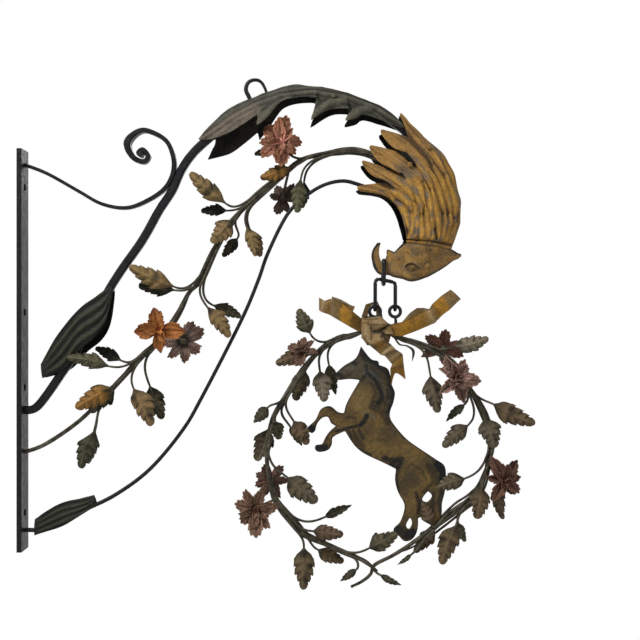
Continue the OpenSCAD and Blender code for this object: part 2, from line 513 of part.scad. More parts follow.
module saddle_leaf_back() {
  mirror([0, 1, 0])
    saddle_half(saddle_back);
}

module saddle_rivet() {
  color(iron)
    rivet(saddle_rivet_at, 16);
}

// Depth of the neck at a row of its lines, from the inner edge at 0 to the seam at 1.
seam_depth = shell_t + 0.1;
function neck_depth(row, u) = mix(neck_edge_depth[row], seam_depth, u) + neck_swell * sin(180 * u);
function neck_point(row, u, reach) =
  deep(mix(neck_inner[row] - [reach[row], 0], neck_outer[row], u), -neck_depth(row, u));
feather_lines = len(feather_ends) - 1;
function neck_line(k, reach) =
  let (u = k / feather_lines, e = feather_ends[k])
  run([for (p = concat([deep(e, -e[2])], [for (row = [0:3]) neck_point(row, u, reach)])) place(p)], 2);

module neck_half(reach) {
  color(gold)
    sheet([for (k = [0:feather_lines]) neck_line(k, reach)], shell_t);
}

module neck_front() {
  neck_half(front_reach);
}

module neck_back() {
  mirror([0, 1, 0])
    neck_half(back_reach);
}

module neck_rivets() {
  color(gold)
    for (spot = neck_rivet_spots)
      rivet([spot[0], spot[1]], spot[2]);
}

module head_half(reach) {
  cheeks = [for (c = [cheek_front, cheek_back]) web(c[0], c[1], cheek_depth, cheek_depth, head_steps)];
  face = [for (k = [0:feather_lines])
    let (u = k / feather_lines, top = neck_point(3, u, reach))
    web(top, along(head_under, u), -top[2], shell_t, head_steps, head_swell * sin(180 * u))];
  tip = [for (c = crest) web(c[0], c[1], shell_t, shell_t, head_steps)];
  color(gold)
    sheet(concat(cheeks, face, tip), shell_t);
}

module head_front() {
  head_half(front_reach);
}

module head_back() {
  mirror([0, 1, 0])
    head_half(back_reach);
}

module eye_rivet() {
  color(gold)
    rivet(eye_rivet_at, 25);
}

// The hook of the beak, with a round seat for the ring and a tongue between the cheeks.
module beak_hook() {
  outer = run([[37.4, 7.5], [36.5, 7.5], [35.9, 7.6], [35.4, 8.2], [35.2, 9], [35.15, 9.5], [35.3, 10.1],
    [35.7, 10.7]], 4);
  inner = run([[36.05, 10.7], [35.9, 10.1], [35.9, 9.5], [36, 9.1]], 3);
  outline = concat(outer, inner, [[36.1, 8.7], [36.5, 8.8], [36.6, 9.3], [36.7, 9.5], [37.4, 9.5]]);
  color(gold)
    translate([0, beak_t / 2, 0])
      rotate([90, 0, 0])
        difference() {
          linear_extrude(beak_t)
            polygon(outline * square);
          translate([mouth[0] * square, mouth[1] * square, -1])
            cylinder(h = beak_t + 2, r = seat_r);
        }
}

module garland_stem() {
  color(olive)
    rod(run([for (p = stem_line) place(p)], 2), stem_swell * stem_d / 2, 7, [1, 0, 0]);
}

module brace_rod() {
  color(iron)
    rod(run([for (p = brace_line) place(p)], 2), brace_swell * brace_d / 2, 6, [1, 0, 0]);
}

module brace_leaf() {
  color(olive)
    for (m = [0, 1])
      mirror([0, m, 0])
        sheet([for (f = brace_leaf_form) web(f[0], f[1], 1.5, f[2] - 2, 3, 2)], shell_t);
}

// An oblong link across the sign, with straight bars in the mouth and under the shackle.
lap = 1.5;
inner_share = 0.97;
module beak_ring() {
  high = mouth[1] * square;
  low = ring_foot[1] * square;
  bar_half = ring_half - ring_wire;
  inset = bar_half - lap;
  top_bend = bend_at([inset, high], [ring_half, high], [ring_half, low], ring_wire);
  low_bend = bend_at([ring_half, high], [ring_half, low], [inset, low], ring_wire);
  flat = concat([[inset, high]], top_bend, low_bend, [[inset, low]]);
  color(iron)
    translate([mouth[0] * square, 0, 0]) {
      for (z = [high, low])
        translate([0, bar_half, z])
          rotate([90, 0, 0])
            cylinder(h = 2 * bar_half, d = ring_wire);
      for (m = [0, 1])
        mirror([0, m, 0])
          flat_wire([for (p = flat) [0, p[0], p[1]]], [1, 0, 0], inner_share * ring_wire / 2);
    }
}

// A square-shouldered wire over the ring's lower bar, with a hook under each eye.
module shackle() {
  crown = ring_foot[1] * square + shackle_rise;
  slope = tan(shackle_tilt);
  left = leg_left * square;
  right = leg_right * square;
  pivot = ring_foot[0] * square;
  axis = eye_axis * square;
  foot_left = [left, axis - lap];
  foot_right = [right, axis - lap];
  shoulder_left = [left, crown + (pivot - left) * slope];
  shoulder_right = [right, crown - (right - pivot) * slope];
  flat = concat([foot_left], bend_at(foot_left, shoulder_left, shoulder_right, shackle_wire),
    bend_at(shoulder_left, shoulder_right, foot_right, shackle_wire), [foot_right]);
  color(iron) {
    flat_wire([for (p = flat) [p[0], -hook_r, p[1]]], [0, 1, 0], inner_share * shackle_wire / 2);
    for (x = [left, right])
      translate([x, 0, axis]) {
        rotate([0, 90, 0])
          rotate([0, 0, -90])
            rotate_extrude(angle = 180)
              translate([hook_r, 0])
                circle(d = shackle_wire);
        translate([0, hook_r, -lap])
          cylinder(h = 2 * lap, d = 0.8 * shackle_wire);
      }
  }
}

// A round eye whose top lies on the swing axis, with a shank down to the branch.
module eye(x, shank) {
  foot = place(shank);
  centre = [x, 0, eye_axis * square - eye_r];
  reach = foot - centre;
  start = centre + unit(reach) * eye_r;
  translate(centre)
    rotate([90, 0, 0])
      rotate_extrude()
        translate([eye_r, 0])
          circle(d = eye_wire);
  translate(start)
    rotate([0, atan2(reach[0], reach[2]), 0])
      cylinder(h = norm(foot - start) + eye_wire / 2, d = inner_share * eye_wire);
}

module hanging_eyes() {
  color(iron) {
    eye(leg_left * square, shank_left);
    eye(leg_right * square, shank_right);
  }
}

module left_branch() {
  color(olive)
    rod(run([for (p = left_line) place(p)], 2), branch_swell * branch_d / 2, 6);
}

module right_branch() {
  color(olive)
    rod(run([for (p = right_line) place(p)], 2), branch_swell * branch_d / 2, 6);
}

function placed(rows) = [for (r = rows) [for (p = r) place(p)]];
function rounded(rows, n) = run(placed(rows), n);

module bow_knot() {
  color(gold)
    sheet(placed(knot_form), ribbon_t, knot_inward);
}

module bow_left_ribbon() {
  color(gold)
    sheet(rounded(left_ribbon_form, 2), ribbon_t);
}

module bow_right_ribbon() {
  color(gold)
    sheet(rounded(right_ribbon_form, 2), ribbon_t);
}

module bow_tail() {
  color(gold)
    sheet([for (r = placed(tail_form)) run(r, 2)], ribbon_t);
}

module bow_tendril() {
  color(olive)
    rod(run([for (p = tendril_line) place(p)], 3), [1, 0.9, 0.6] * stalk_d / 2, 6);
}

module horse_plate() {
  outline = [for (r = horse_runs) let (smooth = run(r, 3)) for (i = [0:len(smooth) - 2]) smooth[i]];
  color(horse_brown)
    translate([0, horse_t / 2, 0])
      rotate([90, 0, 0])
        linear_extrude(horse_t)
          difference() {
            polygon(outline * square);
            for (g = horse_gaps)
              polygon(run(concat(g, [g[0]]), 3) * square);
          }
}

module leaf_group(specs, tone) {
  color(tone)
    for (spec = specs)
      leaf(spec);
}

module left_upper_leaves() {
  leaf_group(left_upper, leaf_brown);
}

module left_side_leaves() {
  leaf_group(left_side, leaf_brown);
}

module left_lower_leaves() {
  leaf_group(left_lower, leaf_brown);
}

module left_end_leaves() {
  leaf_group(left_end, leaf_brown);
}

module right_upper_leaves() {
  leaf_group(right_upper, leaf_brown);
}

module right_side_leaves() {
  leaf_group(right_side, leaf_brown);
}

module right_lower_leaves() {
  leaf_group(right_lower, leaf_brown);
}

module right_end_leaves() {
  leaf_group(right_end, leaf_brown);
}

module garland_leaf(i) {
  leaf_group(garland_leaves[i - 1], ochre);
}

module garland_flower(i) {
  color(rose)
    flower(garland_flowers[i - 1]);
}

module wreath_flower(i) {
  color(rust)
    flower(wreath_flowers[i - 1]);
}

wall_plate();
main_bar();
husk_front();
husk_back();
scroll_bar();
top_loop();
saddle_leaf_front();
saddle_leaf_back();
saddle_rivet();
neck_front();
neck_back();
neck_rivets();
head_front();
head_back();
eye_rivet();
beak_hook();
garland_stem();
brace_rod();
brace_leaf();
beak_ring();
shackle();
left_branch();
right_branch();
hanging_eyes();
bow_knot();
bow_left_ribbon();
bow_right_ribbon();
bow_tail();
bow_tendril();
horse_plate();
left_upper_leaves();
left_side_leaves();
left_lower_leaves();
left_end_leaves();
right_upper_leaves();
right_side_leaves();
right_lower_leaves();
right_end_leaves();
for (i = [1:garland_leaf_count])
  garland_leaf(i);
for (i = [1:garland_flower_count])
  garland_flower(i);
for (i = [1:wreath_flower_count])
  wreath_flower(i);
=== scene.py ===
import bpy
import json
import math
import random
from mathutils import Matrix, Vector, kdtree, noise

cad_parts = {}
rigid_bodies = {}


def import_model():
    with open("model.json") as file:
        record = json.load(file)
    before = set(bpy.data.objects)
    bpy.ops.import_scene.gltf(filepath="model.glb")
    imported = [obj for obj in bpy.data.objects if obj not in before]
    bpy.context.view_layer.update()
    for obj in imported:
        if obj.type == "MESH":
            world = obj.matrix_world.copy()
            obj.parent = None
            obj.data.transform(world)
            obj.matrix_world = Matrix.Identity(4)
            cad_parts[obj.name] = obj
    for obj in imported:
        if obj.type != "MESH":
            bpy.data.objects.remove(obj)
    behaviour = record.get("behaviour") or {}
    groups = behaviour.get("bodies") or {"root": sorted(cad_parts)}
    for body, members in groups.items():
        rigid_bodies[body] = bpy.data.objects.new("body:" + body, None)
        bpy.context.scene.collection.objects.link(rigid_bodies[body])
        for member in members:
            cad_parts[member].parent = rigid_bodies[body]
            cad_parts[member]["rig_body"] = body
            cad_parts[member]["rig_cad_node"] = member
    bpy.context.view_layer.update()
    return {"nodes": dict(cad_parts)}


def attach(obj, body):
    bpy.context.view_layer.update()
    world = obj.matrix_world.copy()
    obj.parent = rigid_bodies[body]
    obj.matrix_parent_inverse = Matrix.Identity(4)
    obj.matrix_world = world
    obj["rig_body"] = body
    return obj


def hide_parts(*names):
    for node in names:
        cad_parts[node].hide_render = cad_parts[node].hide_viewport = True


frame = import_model()
print("frame loaded,", len(frame["nodes"]), "nodes")

# everything is set out on a squared drawing: [across, up] in squares, depth in millimetres
square = 0.016
milli = 0.001
sameSpot = 0.00001                                   # corners closer than this are one


def spot(p, depth=None):
    y = depth if depth is not None else (p[2] if len(p) > 2 else 0)
    return Vector((p[0] * square, y * milli, p[1] * square))


def spots(line):
    return [spot(p) for p in line]


def inMilli(sizes):
    return [s * milli for s in sizes]


def mixed(a, b, t):
    return a + (b - a) * t


def blended(a, b, t):
    return tuple(x + (y - x) * t for x, y in zip(a, b))


def ease(x, low, high):
    t = min(1, max(0, (x - low) / (high - low)))
    return t * t * (3 - 2 * t)


def hump(d, width):
    return math.exp(-(d / width) ** 2)


def ridged(off, ridges):                             # ridges and grooves: [height, distance, width]
    return sum(height * hump(off - at, width) for height, at, width in ridges)


def uneven(x, y, z):                                 # soft lumps from -1 to 1
    return noise.noise(Vector((x, y, z)))


def patchy(x, y, z):                                 # the same from 0 to 1
    return 0.5 + 0.5 * uneven(x, y, z)


# smooth run through points, t from 0 to 1; it doesn't round the listed corners
def runAt(p, t, corners=()):
    s = min(max(t, 0), 1) * (len(p) - 1)
    i = min(len(p) - 2, int(s))
    f = s - i
    b, c = p[i], p[i + 1]
    a = b if i == 0 or i in corners else p[i - 1]
    d = c if i + 2 >= len(p) or i + 1 in corners else p[i + 2]
    return (2 * b + (c - a) * f + (2 * a - 5 * b + 4 * c - d) * f * f + (3 * b - a - 3 * c + d) * f ** 3) / 2


def nearLine(x, z, line):
    best = 99
    for (ax, az), (bx, bz) in zip(line, line[1:]):
        dx, dz = bx - ax, bz - az
        t = max(0, min(1, ((x - ax) * dx + (z - az) * dz) / (dx * dx + dz * dz)))
        best = min(best, math.hypot(x - ax - t * dx, z - az - t * dz))
    return best


def tint(r, g, b):                                   # screen colour to scene colour
    return tuple(((c / 255 + 0.055) / 1.055) ** 2.4 if c > 10 else c / 3294.6 for c in (r, g, b))


# working on one object at a time
def onlyThis(piece):
    bpy.ops.object.select_all(action='DESELECT')
    piece.select_set(True)
    bpy.context.view_layer.objects.active = piece


def fresh(add, **sizes):                             # a new object, the only one selected
    bpy.ops.object.select_all(action='DESELECT')
    add(**sizes)
    return bpy.context.object


def applyModifiers(piece):
    onlyThis(piece)
    for name in [m.name for m in piece.modifiers]:
        bpy.ops.object.modifier_apply(modifier=name)


def closeSeams(piece, gap=2 * sameSpot):
    onlyThis(piece)
    bpy.ops.object.mode_set(mode='EDIT')
    bpy.ops.mesh.select_all(action='SELECT')
    bpy.ops.mesh.remove_doubles(threshold=gap)
    bpy.ops.mesh.normals_make_consistent(inside=False)
    bpy.ops.object.mode_set(mode='OBJECT')


def smoothOver(piece, angle):
    onlyThis(piece)
    bpy.ops.object.shade_smooth_by_angle(angle=math.radians(angle))


def joinUp(pieces, name):
    bpy.ops.object.select_all(action='DESELECT')
    for p in pieces:
        p.select_set(True)
    bpy.context.view_layer.objects.active = pieces[0]
    bpy.ops.object.join()
    whole = bpy.context.object
    whole.name = name
    return whole


def dent(piece, depth, size):                        # hammer marks
    marks = bpy.data.textures.new(piece.name + "Marks", 'CLOUDS')
    marks.noise_scale = size
    mod = piece.modifiers.new("marks", 'DISPLACE')
    mod.texture = marks
    mod.texture_coords = 'LOCAL'
    mod.strength = depth
    mod.mid_level = 0.5
    applyModifiers(piece)


def brush(piece, colourOf):                          # vertex paint by place
    layer = piece.data.color_attributes.new("paint", 'FLOAT_COLOR', 'POINT')
    for v in piece.data.vertices:
        layer.data[v.index].color = (*colourOf(v), 1)


def coatWith(piece, angle, coat):
    piece.data.materials.append(coat)
    smoothOver(piece, angle)


# gives a sheet its thickness, with the last coat inside; rim says which coat its edge has
def thicken(sheet, thickness, coats, rim):
    wall = sheet.modifiers.new("wall", 'SOLIDIFY')
    wall.thickness = thickness
    wall.offset = -1
    wall.material_offset = len(coats) - 1
    wall.material_offset_rim = rim
    for coat in coats:
        sheet.data.materials.append(coat)
    applyModifiers(sheet)


def copyOf(master):
    twin = master.copy()
    twin.data = master.data.copy()
    bpy.context.collection.objects.link(twin)
    return twin


def fit(piece, body, slot, *nodes):
    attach(piece, body)
    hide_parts(*nodes)


# marks are the depth and size of the hammer's marks in millimetres
def finishBar(bar, coat, angle, body, slot, node, marks=None):
    if marks:
        dent(bar, *inMilli(marks))
    coatWith(bar, angle, coat)
    fit(bar, body, slot, node)


shadeTone = (14, 14, 11)


# old paint and iron: two tones or the vertex paint, painted shade on the unlit side of a sheet, then grime,
# brush grain and chips
def weathered(name, look):
    mat = bpy.data.materials.new(name)
    mat.use_nodes = True
    nodes, wires = mat.node_tree.nodes, mat.node_tree.links
    shader = nodes["Principled BSDF"]
    shader.inputs["Specular IOR Level"].default_value = look["gloss"]
    coords = nodes.new('ShaderNodeTexCoord').outputs['Object']

    def clouds(scale, detail, low, high, least=0.0, most=1.0):
        tex = nodes.new('ShaderNodeTexNoise')
        tex.inputs['Scale'].default_value = scale
        tex.inputs['Detail'].default_value = detail
        wires.new(coords, tex.inputs['Vector'])
        span = nodes.new('ShaderNodeMapRange')
        for socket, value in (('From Min', low), ('From Max', high), ('To Min', least), ('To Max', most)):
            span.inputs[socket].default_value = value
        wires.new(tex.outputs[0], span.inputs['Value'])
        return span.outputs['Result']

    def over(under, coat, amount, way='MIX'):
        mix = nodes.new('ShaderNodeMixRGB')
        mix.blend_type = way
        for socket, source in (('Color1', under), ('Color2', coat), ('Fac', amount)):
            if hasattr(source, "is_output"):
                wires.new(source, mix.inputs[socket])
            elif socket == 'Fac':
                mix.inputs[socket].default_value = source
            else:
                mix.inputs[socket].default_value = (*source, 1)
        return mix.outputs['Color']

    if "tones" in look:
        first, second = [tint(*c) for c in look["tones"]]
        coat = over(first, second, clouds(look["patch"] * 1.7, 4, 0.35, 0.65))
    else:
        layer = nodes.new('ShaderNodeAttribute')
        layer.attribute_name = "paint"
        coat = layer.outputs['Color']
    if "shade" in look:                              # the unlit side of a sheet
        least, most = look["shade"] - 0.1, look["shade"] + 0.1
        coat = over(coat, tint(*shadeTone), clouds(look["patch"], 3, 0.3, 0.7, least, most))
    coat = over(coat, tint(*look["grime"]), clouds(look["patch"], 7, 0.48, 0.72, 0, look["dirt"]))
    coat = over(coat, clouds(look["grain"], 6, 0.25, 0.75), look["mottle"], 'OVERLAY')
    coat = over(coat, tint(*look["chip"]), clouds(look["grain"] * 0.6, 4, 0.62, 0.68, 0, look["chips"]))
    wires.new(coat, shader.inputs['Base Color'])
    wires.new(clouds(look["patch"] * 2, 5, 0.3, 0.7, *look["rough"]), shader.inputs['Roughness'])
    bump = nodes.new('ShaderNodeBump')
    bump.inputs['Strength'].default_value = look["bump"]
    bump.inputs['Distance'].default_value = milli
    wires.new(clouds(look["hammer"], 6, 0.2, 0.8), bump.inputs['Height'])
    wires.new(bump.outputs['Normal'], shader.inputs['Normal'])
    return mat


forgedIron = weathered("forgedIron", {
    "tones": [(5, 6, 9), (15, 16, 21)], "patch": 45, "grain": 420, "grime": (42, 36, 31), "dirt": 0.25,
    "mottle": 0.3, "chip": (42, 37, 33), "chips": 0.2, "gloss": 0.19, "rough": (0.3, 0.48),
    "bump": 0.55, "hammer": 170})
stemPaint = weathered("stemPaint", {
    "tones": [(46, 44, 35), (84, 79, 66)], "patch": 55, "grain": 380, "grime": (28, 27, 21), "dirt": 0.5,
    "mottle": 0.25, "chip": (24, 23, 19), "chips": 0.2, "gloss": 0.14, "rough": (0.58, 0.82),
    "bump": 0.6, "hammer": 260})
goldPaint = weathered("goldPaint", {
    "patch": 42, "grain": 300, "grime": (82, 65, 45), "dirt": 0.5, "mottle": 0.3, "chip": (52, 38, 25),
    "chips": 0.3, "gloss": 0.18, "rough": (0.48, 0.76), "bump": 0.6, "hammer": 220})
olivePaint = weathered("olivePaint", {
    "patch": 28, "grain": 360, "grime": (44, 43, 37), "dirt": 0.5, "mottle": 0.45, "chip": (26, 26, 24),
    "chips": 0.35, "gloss": 0.12, "rough": (0.46, 0.7), "bump": 0.45, "hammer": 190})
leafPaint = weathered("leafPaint", {
    "patch": 90, "grain": 520, "grime": (46, 42, 31), "dirt": 0.4, "mottle": 0.4, "chip": (36, 32, 24),
    "chips": 0.35, "gloss": 0.12, "rough": (0.58, 0.84), "bump": 0.5, "hammer": 420})
# the back of a leaf: painted shade on its unlit side, set by shade
leafBack = weathered("leafBack", {
    "patch": 70, "grain": 480, "grime": (22, 22, 17), "dirt": 0.6, "mottle": 0.5, "chip": (14, 14, 12),
    "chips": 0.5, "gloss": 0.1, "rough": (0.62, 0.88), "bump": 0.5, "hammer": 380, "shade": 0.42})
petalPaint = weathered("petalPaint", {
    "patch": 110, "grain": 560, "grime": (62, 40, 31), "dirt": 0.4, "mottle": 0.4, "chip": (40, 29, 23),
    "chips": 0.3, "gloss": 0.12, "rough": (0.56, 0.82), "bump": 0.5, "hammer": 420})
ribbonPaint = weathered("ribbonPaint", {
    "patch": 60, "grain": 420, "grime": (80, 62, 36), "dirt": 0.4, "mottle": 0.28, "chip": (58, 44, 27),
    "chips": 0.25, "gloss": 0.16, "rough": (0.48, 0.74), "bump": 0.45, "hammer": 260})
horsePaint = weathered("horsePaint", {
    "patch": 22, "grain": 260, "grime": (52, 45, 33), "dirt": 0.45, "mottle": 0.32, "chip": (36, 32, 25),
    "chips": 0.25, "gloss": 0.14, "rough": (0.52, 0.78), "bump": 0.4, "hammer": 180})
rivetPaint = weathered("rivetPaint", {
    "tones": [(112, 84, 46), (136, 104, 58)], "patch": 90, "grain": 420, "grime": (60, 46, 32), "dirt": 0.6,
    "mottle": 0.5, "chip": (40, 30, 20), "chips": 0.5, "gloss": 0.18, "rough": (0.48, 0.76),
    "bump": 0.5, "hammer": 300})
oliveRivet = weathered("oliveRivet", {
    "tones": [(62, 59, 48), (92, 87, 73)], "patch": 90, "grain": 420, "grime": (40, 38, 31), "dirt": 0.5,
    "mottle": 0.4, "chip": (26, 26, 24), "chips": 0.4, "gloss": 0.16, "rough": (0.46, 0.7),
    "bump": 0.5, "hammer": 300})
# inside of the saddle leaf and its rim: painted shade on the unlit side, set by shade
oliveInside = weathered("oliveInside", {
    "patch": 30, "grain": 340, "grime": (15, 15, 13), "dirt": 0.6, "mottle": 0.4, "chip": (12, 12, 11),
    "chips": 0.3, "gloss": 0.1, "rough": (0.55, 0.8), "bump": 0.45, "hammer": 190, "shade": 0.94})
darkInside = weathered("darkInside", {
    "tones": [(9, 9, 9), (27, 26, 23)], "patch": 40, "grain": 300, "grime": (36, 31, 25), "dirt": 0.3,
    "mottle": 0.4, "chip": (42, 37, 30), "chips": 0.15, "gloss": 0.06, "rough": (0.6, 0.85),
    "bump": 0.5, "hammer": 200})
print("paints mixed")

# bars and wires: a section swept along a smooth run
roundSection = [(math.cos(k * math.pi / 6), math.sin(k * math.pi / 6)) for k in range(12)]
squareSection = [(1, -0.62), (1, 0.62), (0.62, 1), (-0.62, 1), (-1, 0.62), (-1, -0.62), (-0.62, -1),
                 (0.62, -1)]
stripSection = [(2, -0.6), (2, 0.6), (1.6, 1), (-1.6, 1), (-2, 0.6), (-2, -0.6), (-1.6, -1), (1.6, -1)]
bundle = {"strand": 0.6, "spread": 0.42, "looseHalf": 2.1, "taper": [0.5, 1, 1, 1, 0.5]}
bundleSection = []                                   # three strands laid together
for k in range(30):
    off = (k * math.pi / 15 + math.pi / 3) % (math.pi * 2 / 3) - math.pi / 3
    aside = bundle["spread"] * math.sin(off)
    r = bundle["spread"] * math.cos(off) + math.sqrt(bundle["strand"] ** 2 - aside ** 2)
    bundleSection.append((r * math.cos(k * math.pi / 15), r * math.sin(k * math.pi / 15)))


# a thinner stem that leaves its carrier, runs beside it and joins it again: [from, to, aside, depth]
def looseStrand(carrier, start, end, aside, depth):
    line = []
    for k in range(9):
        t = mixed(start, end, k / 8)
        way = runAt(carrier, min(1, t + 0.01)) - runAt(carrier, max(0, t - 0.01))
        beside = way.cross(Vector((0, 1, 0))).normalized()
        swing = math.sin(math.pi * k / 8) ** 0.8
        line.append(runAt(carrier, t) + (beside * aside + Vector((0, depth, 0))) * swing * milli)
    half = [s * bundle["looseHalf"] for s in bundle["taper"]]
    return barAlong("strand", line, inMilli(half), roundSection[::2], 4)


def polyRun(curve, points, radii, turns):
    curve.splines.clear()
    line = curve.splines.new('POLY')
    line.points.add(len(points) - 1)
    for i, p in enumerate(points):
        t = i / (len(points) - 1)
        line.points[i].co = (*p, 1)
        line.points[i].radius = runAt(radii, t)
        line.points[i].tilt = turns * 2 * math.pi * t
    return line


def barAlong(name, points, radii, section, steps=6, turns=0, loop=False):
    outline = fresh(bpy.ops.curve.primitive_nurbs_circle_add)
    outline.data.dimensions = '2D'
    polyRun(outline.data, [Vector((x, y, 0)) for x, y in section], [1, 1], 0).use_cyclic_u = True
    bar = fresh(bpy.ops.curve.primitive_nurbs_path_add)
    bar.name = name
    count = (len(points) - 1) * steps
    polyRun(bar.data, [runAt(points, i / count) for i in range(count + 1)], radii,
            turns).use_cyclic_u = loop
    bar.data.dimensions = '3D'
    bar.data.twist_mode = 'MINIMUM'
    bar.data.bevel_mode = 'OBJECT'
    bar.data.bevel_object = outline
    bar.data.use_fill_caps = not loop
    bpy.ops.object.convert(target='MESH')
    bar = bpy.context.object
    bpy.data.objects.remove(outline)
    closeSeams(bar)
    return bar


mainBar = {
    "line": [[0.5, -6], [1.8, -5.6], [4, -2.6], [6, 0.5], [9.2, 6.5], [12.2, 10.9], [13.9, 13.9],
             [15.2, 15.9], [16.1, 17.9], [17.1, 19.4], [18.6, 20.9], [22, 23.6], [27.4, 25.7], [32.5, 25],
             [37, 23], [40, 20.2], [41.2, 17], [40.8, 14], [39.6, 11.2], [39.6, 9.6], [40.6, 8.2]],
    "half": [6.5, 6.5], "marks": [0.7, 12]}
bar = barAlong("mainBar", spots(mainBar["line"]), inMilli(mainBar["half"]), squareSection, 8)
finishBar(bar, forgedIron, 35, "bracket", "iron", "main_bar", mainBar["marks"])

scrollBar = {
    "line": [[0.5, 18.5], [2.8, 17.6], [6, 15.8], [8.2, 14.6], [10.6, 14.2], [12.7, 14.9], [14.65, 16.3],
             [15.45, 18.4], [14.8, 20.7], [13.1, 21.8], [11.9, 21.8], [10.8, 20.7], [11.3, 19.3],
             [12.4, 18.8], [12.85, 19.35], [12.35, 19.95], [11.95, 19.65], [12.35, 19.45]],
    "half": [2.7, 2.7, 2.7, 2.7, 2.8, 3, 3.3, 3.7, 3.5, 3.5, 4.2, 5.4, 4.4, 3.7, 3.9, 4.1, 4.3, 4.6],
    "marks": [0.3, 10]}
bar = barAlong("scrollBar", spots(scrollBar["line"]), inMilli(scrollBar["half"]), stripSection, 10)
finishBar(bar, forgedIron, 35, "bracket", "iron", "scroll_bar", scrollBar["marks"])

topLoop = {
    "line": [[23.2, 24.5], [22.9, 25.3], [22.6, 26], [22.8, 26.7], [23.4, 27], [24.1, 26.8], [24.6, 25.9],
             [24.7, 25]],
    "half": [3.5, 3.5, 3.4, 3.2, 2.9, 2.6, 2.4, 2.4], "marks": [0.3, 8]}
bar = barAlong("topLoop", spots(topLoop["line"]), inMilli(topLoop["half"]), roundSection, 9)
finishBar(bar, forgedIron, 40, "bracket", "iron", "top_loop", topLoop["marks"])

braceRod = {
    "line": [[0.5, -18], [3, -17.8], [6, -16.2], [9.5, -14.5], [13, -11.9], [16.2, -8.1], [18.2, -4.7],
             [22.1, 2.9], [23.8, 6.9], [24.8, 9.7], [26.7, 13.5], [28.6, 15.4], [30.4, 16.5], [32.3, 16.9],
             [34, 16.5], [36.5, 15.6], [39, 15], [41.2, 15.2]],
    "half": [3.6, 3.3, 3, 3, 3, 3, 3.3, 3.3], "marks": [0.2, 20]}
bar = barAlong("braceRod", spots(braceRod["line"]), inMilli(braceRod["half"]), roundSection, 8)
finishBar(bar, forgedIron, 40, "bracket", "iron", "brace_rod", braceRod["marks"])


def boundStem(name, line, half, steps, stem, strands):
    bar = barAlong(name, line, inMilli(half), bundleSection, steps, stem["turns"])
    return joinUp([bar] + [looseStrand(line, *s) for s in strands], name)


garlandStem = {
    "line": [[0.5, -10.2], [2.6, -9.4], [6, -7], [9.4, -3.6], [12.1, -0.8], [13.6, 0.6], [15.4, 3],
             [16.9, 5.7], [18, 6.9], [19.7, 10.4], [21.5, 13.3], [23.6, 15.3], [26, 17.3], [28.1, 19],
             [31.2, 19.8], [34, 19.9], [37, 18.7], [38.8, 18.2]],
    "half": [3.6, 3.6, 4, 4.2, 3.4, 3.6, 3.3, 3.6, 4.6, 3.2], "turns": 2, "marks": [0.7, 14], "hug": 3,
    "strands": [[0.18, 0.32, 4, -3], [0.3, 0.42, -4, 2], [0.44, 0.56, 4, -3], [0.58, 0.76, -4, -2],
                [0.6, 0.72, 5, 2], [0.76, 0.97, -6, -2], [0.8, 0.95, 4, 3]]}
stemPoints = spots(garlandStem["line"])
bar = boundStem("garlandStem", stemPoints, garlandStem["half"], 8, garlandStem, garlandStem["strands"])
finishBar(bar, stemPaint, 50, "bracket", "olive_paint", "garland_stem", garlandStem["marks"])
print("bars forged")

# links: the ring hangs in the mouth, the shackle in the ring and the eyes in the shackle
links = {"mouth": [36.35, 8.95], "ringFoot": 6.57, "ringHalf": 15, "wire": 3, "legs": [35.5, 37.5],
         "eyeAxis": 4.4, "hook": 6.1, "hookEnd": 1.5, "tilt": 12, "gap": 0.35, "eyeHalf": 8.75,
         "eyeWire": 2.75, "shanks": [[34.8, 2.7], [37.6, 2.6]], "shankEnd": 1.12, "bend": 6}


def bendAt(a, b, c, radius, steps=6):                # a round bend in place of the corner b
    u, v = (b - a).normalized(), (c - b).normalized()
    turn = u.angle(v)
    side = (v - u * u.dot(v)).normalized()
    start = b - u * radius * math.tan(turn / 2)
    middle = start + side * radius
    return [middle - side * radius * math.cos(turn * k / steps) + u * radius * math.sin(turn * k / steps)
            for k in range(steps + 1)]


high, low = links["mouth"][1] * square, links["ringFoot"] * square
across = links["mouth"][0] * square
half = links["ringHalf"] * milli
corners = [Vector((across, y, z)) for y, z in ((half, high), (half, low), (-half, low), (-half, high))]
ringPath = []
for i in range(4):
    ringPath += bendAt(corners[i - 1], corners[i], corners[(i + 1) % 4], links["bend"] * milli)
wire = [links["wire"] * milli] * 2
bar = barAlong("beakRing", ringPath, wire, roundSection, 1, 0, True)
finishBar(bar, forgedIron, 40, "ring", "iron", "beak_ring")

rise = (2 * links["wire"] + links["gap"]) / math.cos(math.radians(links["tilt"])) * milli
hook, axis = links["hook"] * milli, links["eyeAxis"] * square
slope = math.tan(math.radians(links["tilt"]))
left, right = [x * square for x in links["legs"]]
crown = low + rise


def hookAt(x):                                       # from the leg round under the eye and up behind
    sweep = [k * math.pi / 10 for k in range(11)]
    bend = [Vector((x, -hook * math.cos(a), axis - hook * math.sin(a))) for a in sweep]
    return bend + [Vector((x, hook, axis + links["hookEnd"] * milli))]


shoulders = [Vector((left, -hook, crown + (across - left) * slope)),
             Vector((right, -hook, crown - (right - across) * slope))]
shacklePath = list(reversed(hookAt(left)))
shacklePath += bendAt(shacklePath[-1], shoulders[0], shoulders[1], links["bend"] * milli)
shacklePath += bendAt(shoulders[0], shoulders[1], Vector((right, -hook, axis)), links["bend"] * milli)
shacklePath += hookAt(right)
bar = barAlong("shackle_wire", shacklePath, wire, roundSection, 2)
finishBar(bar, forgedIron, 40, "shackle", "iron", "shackle")

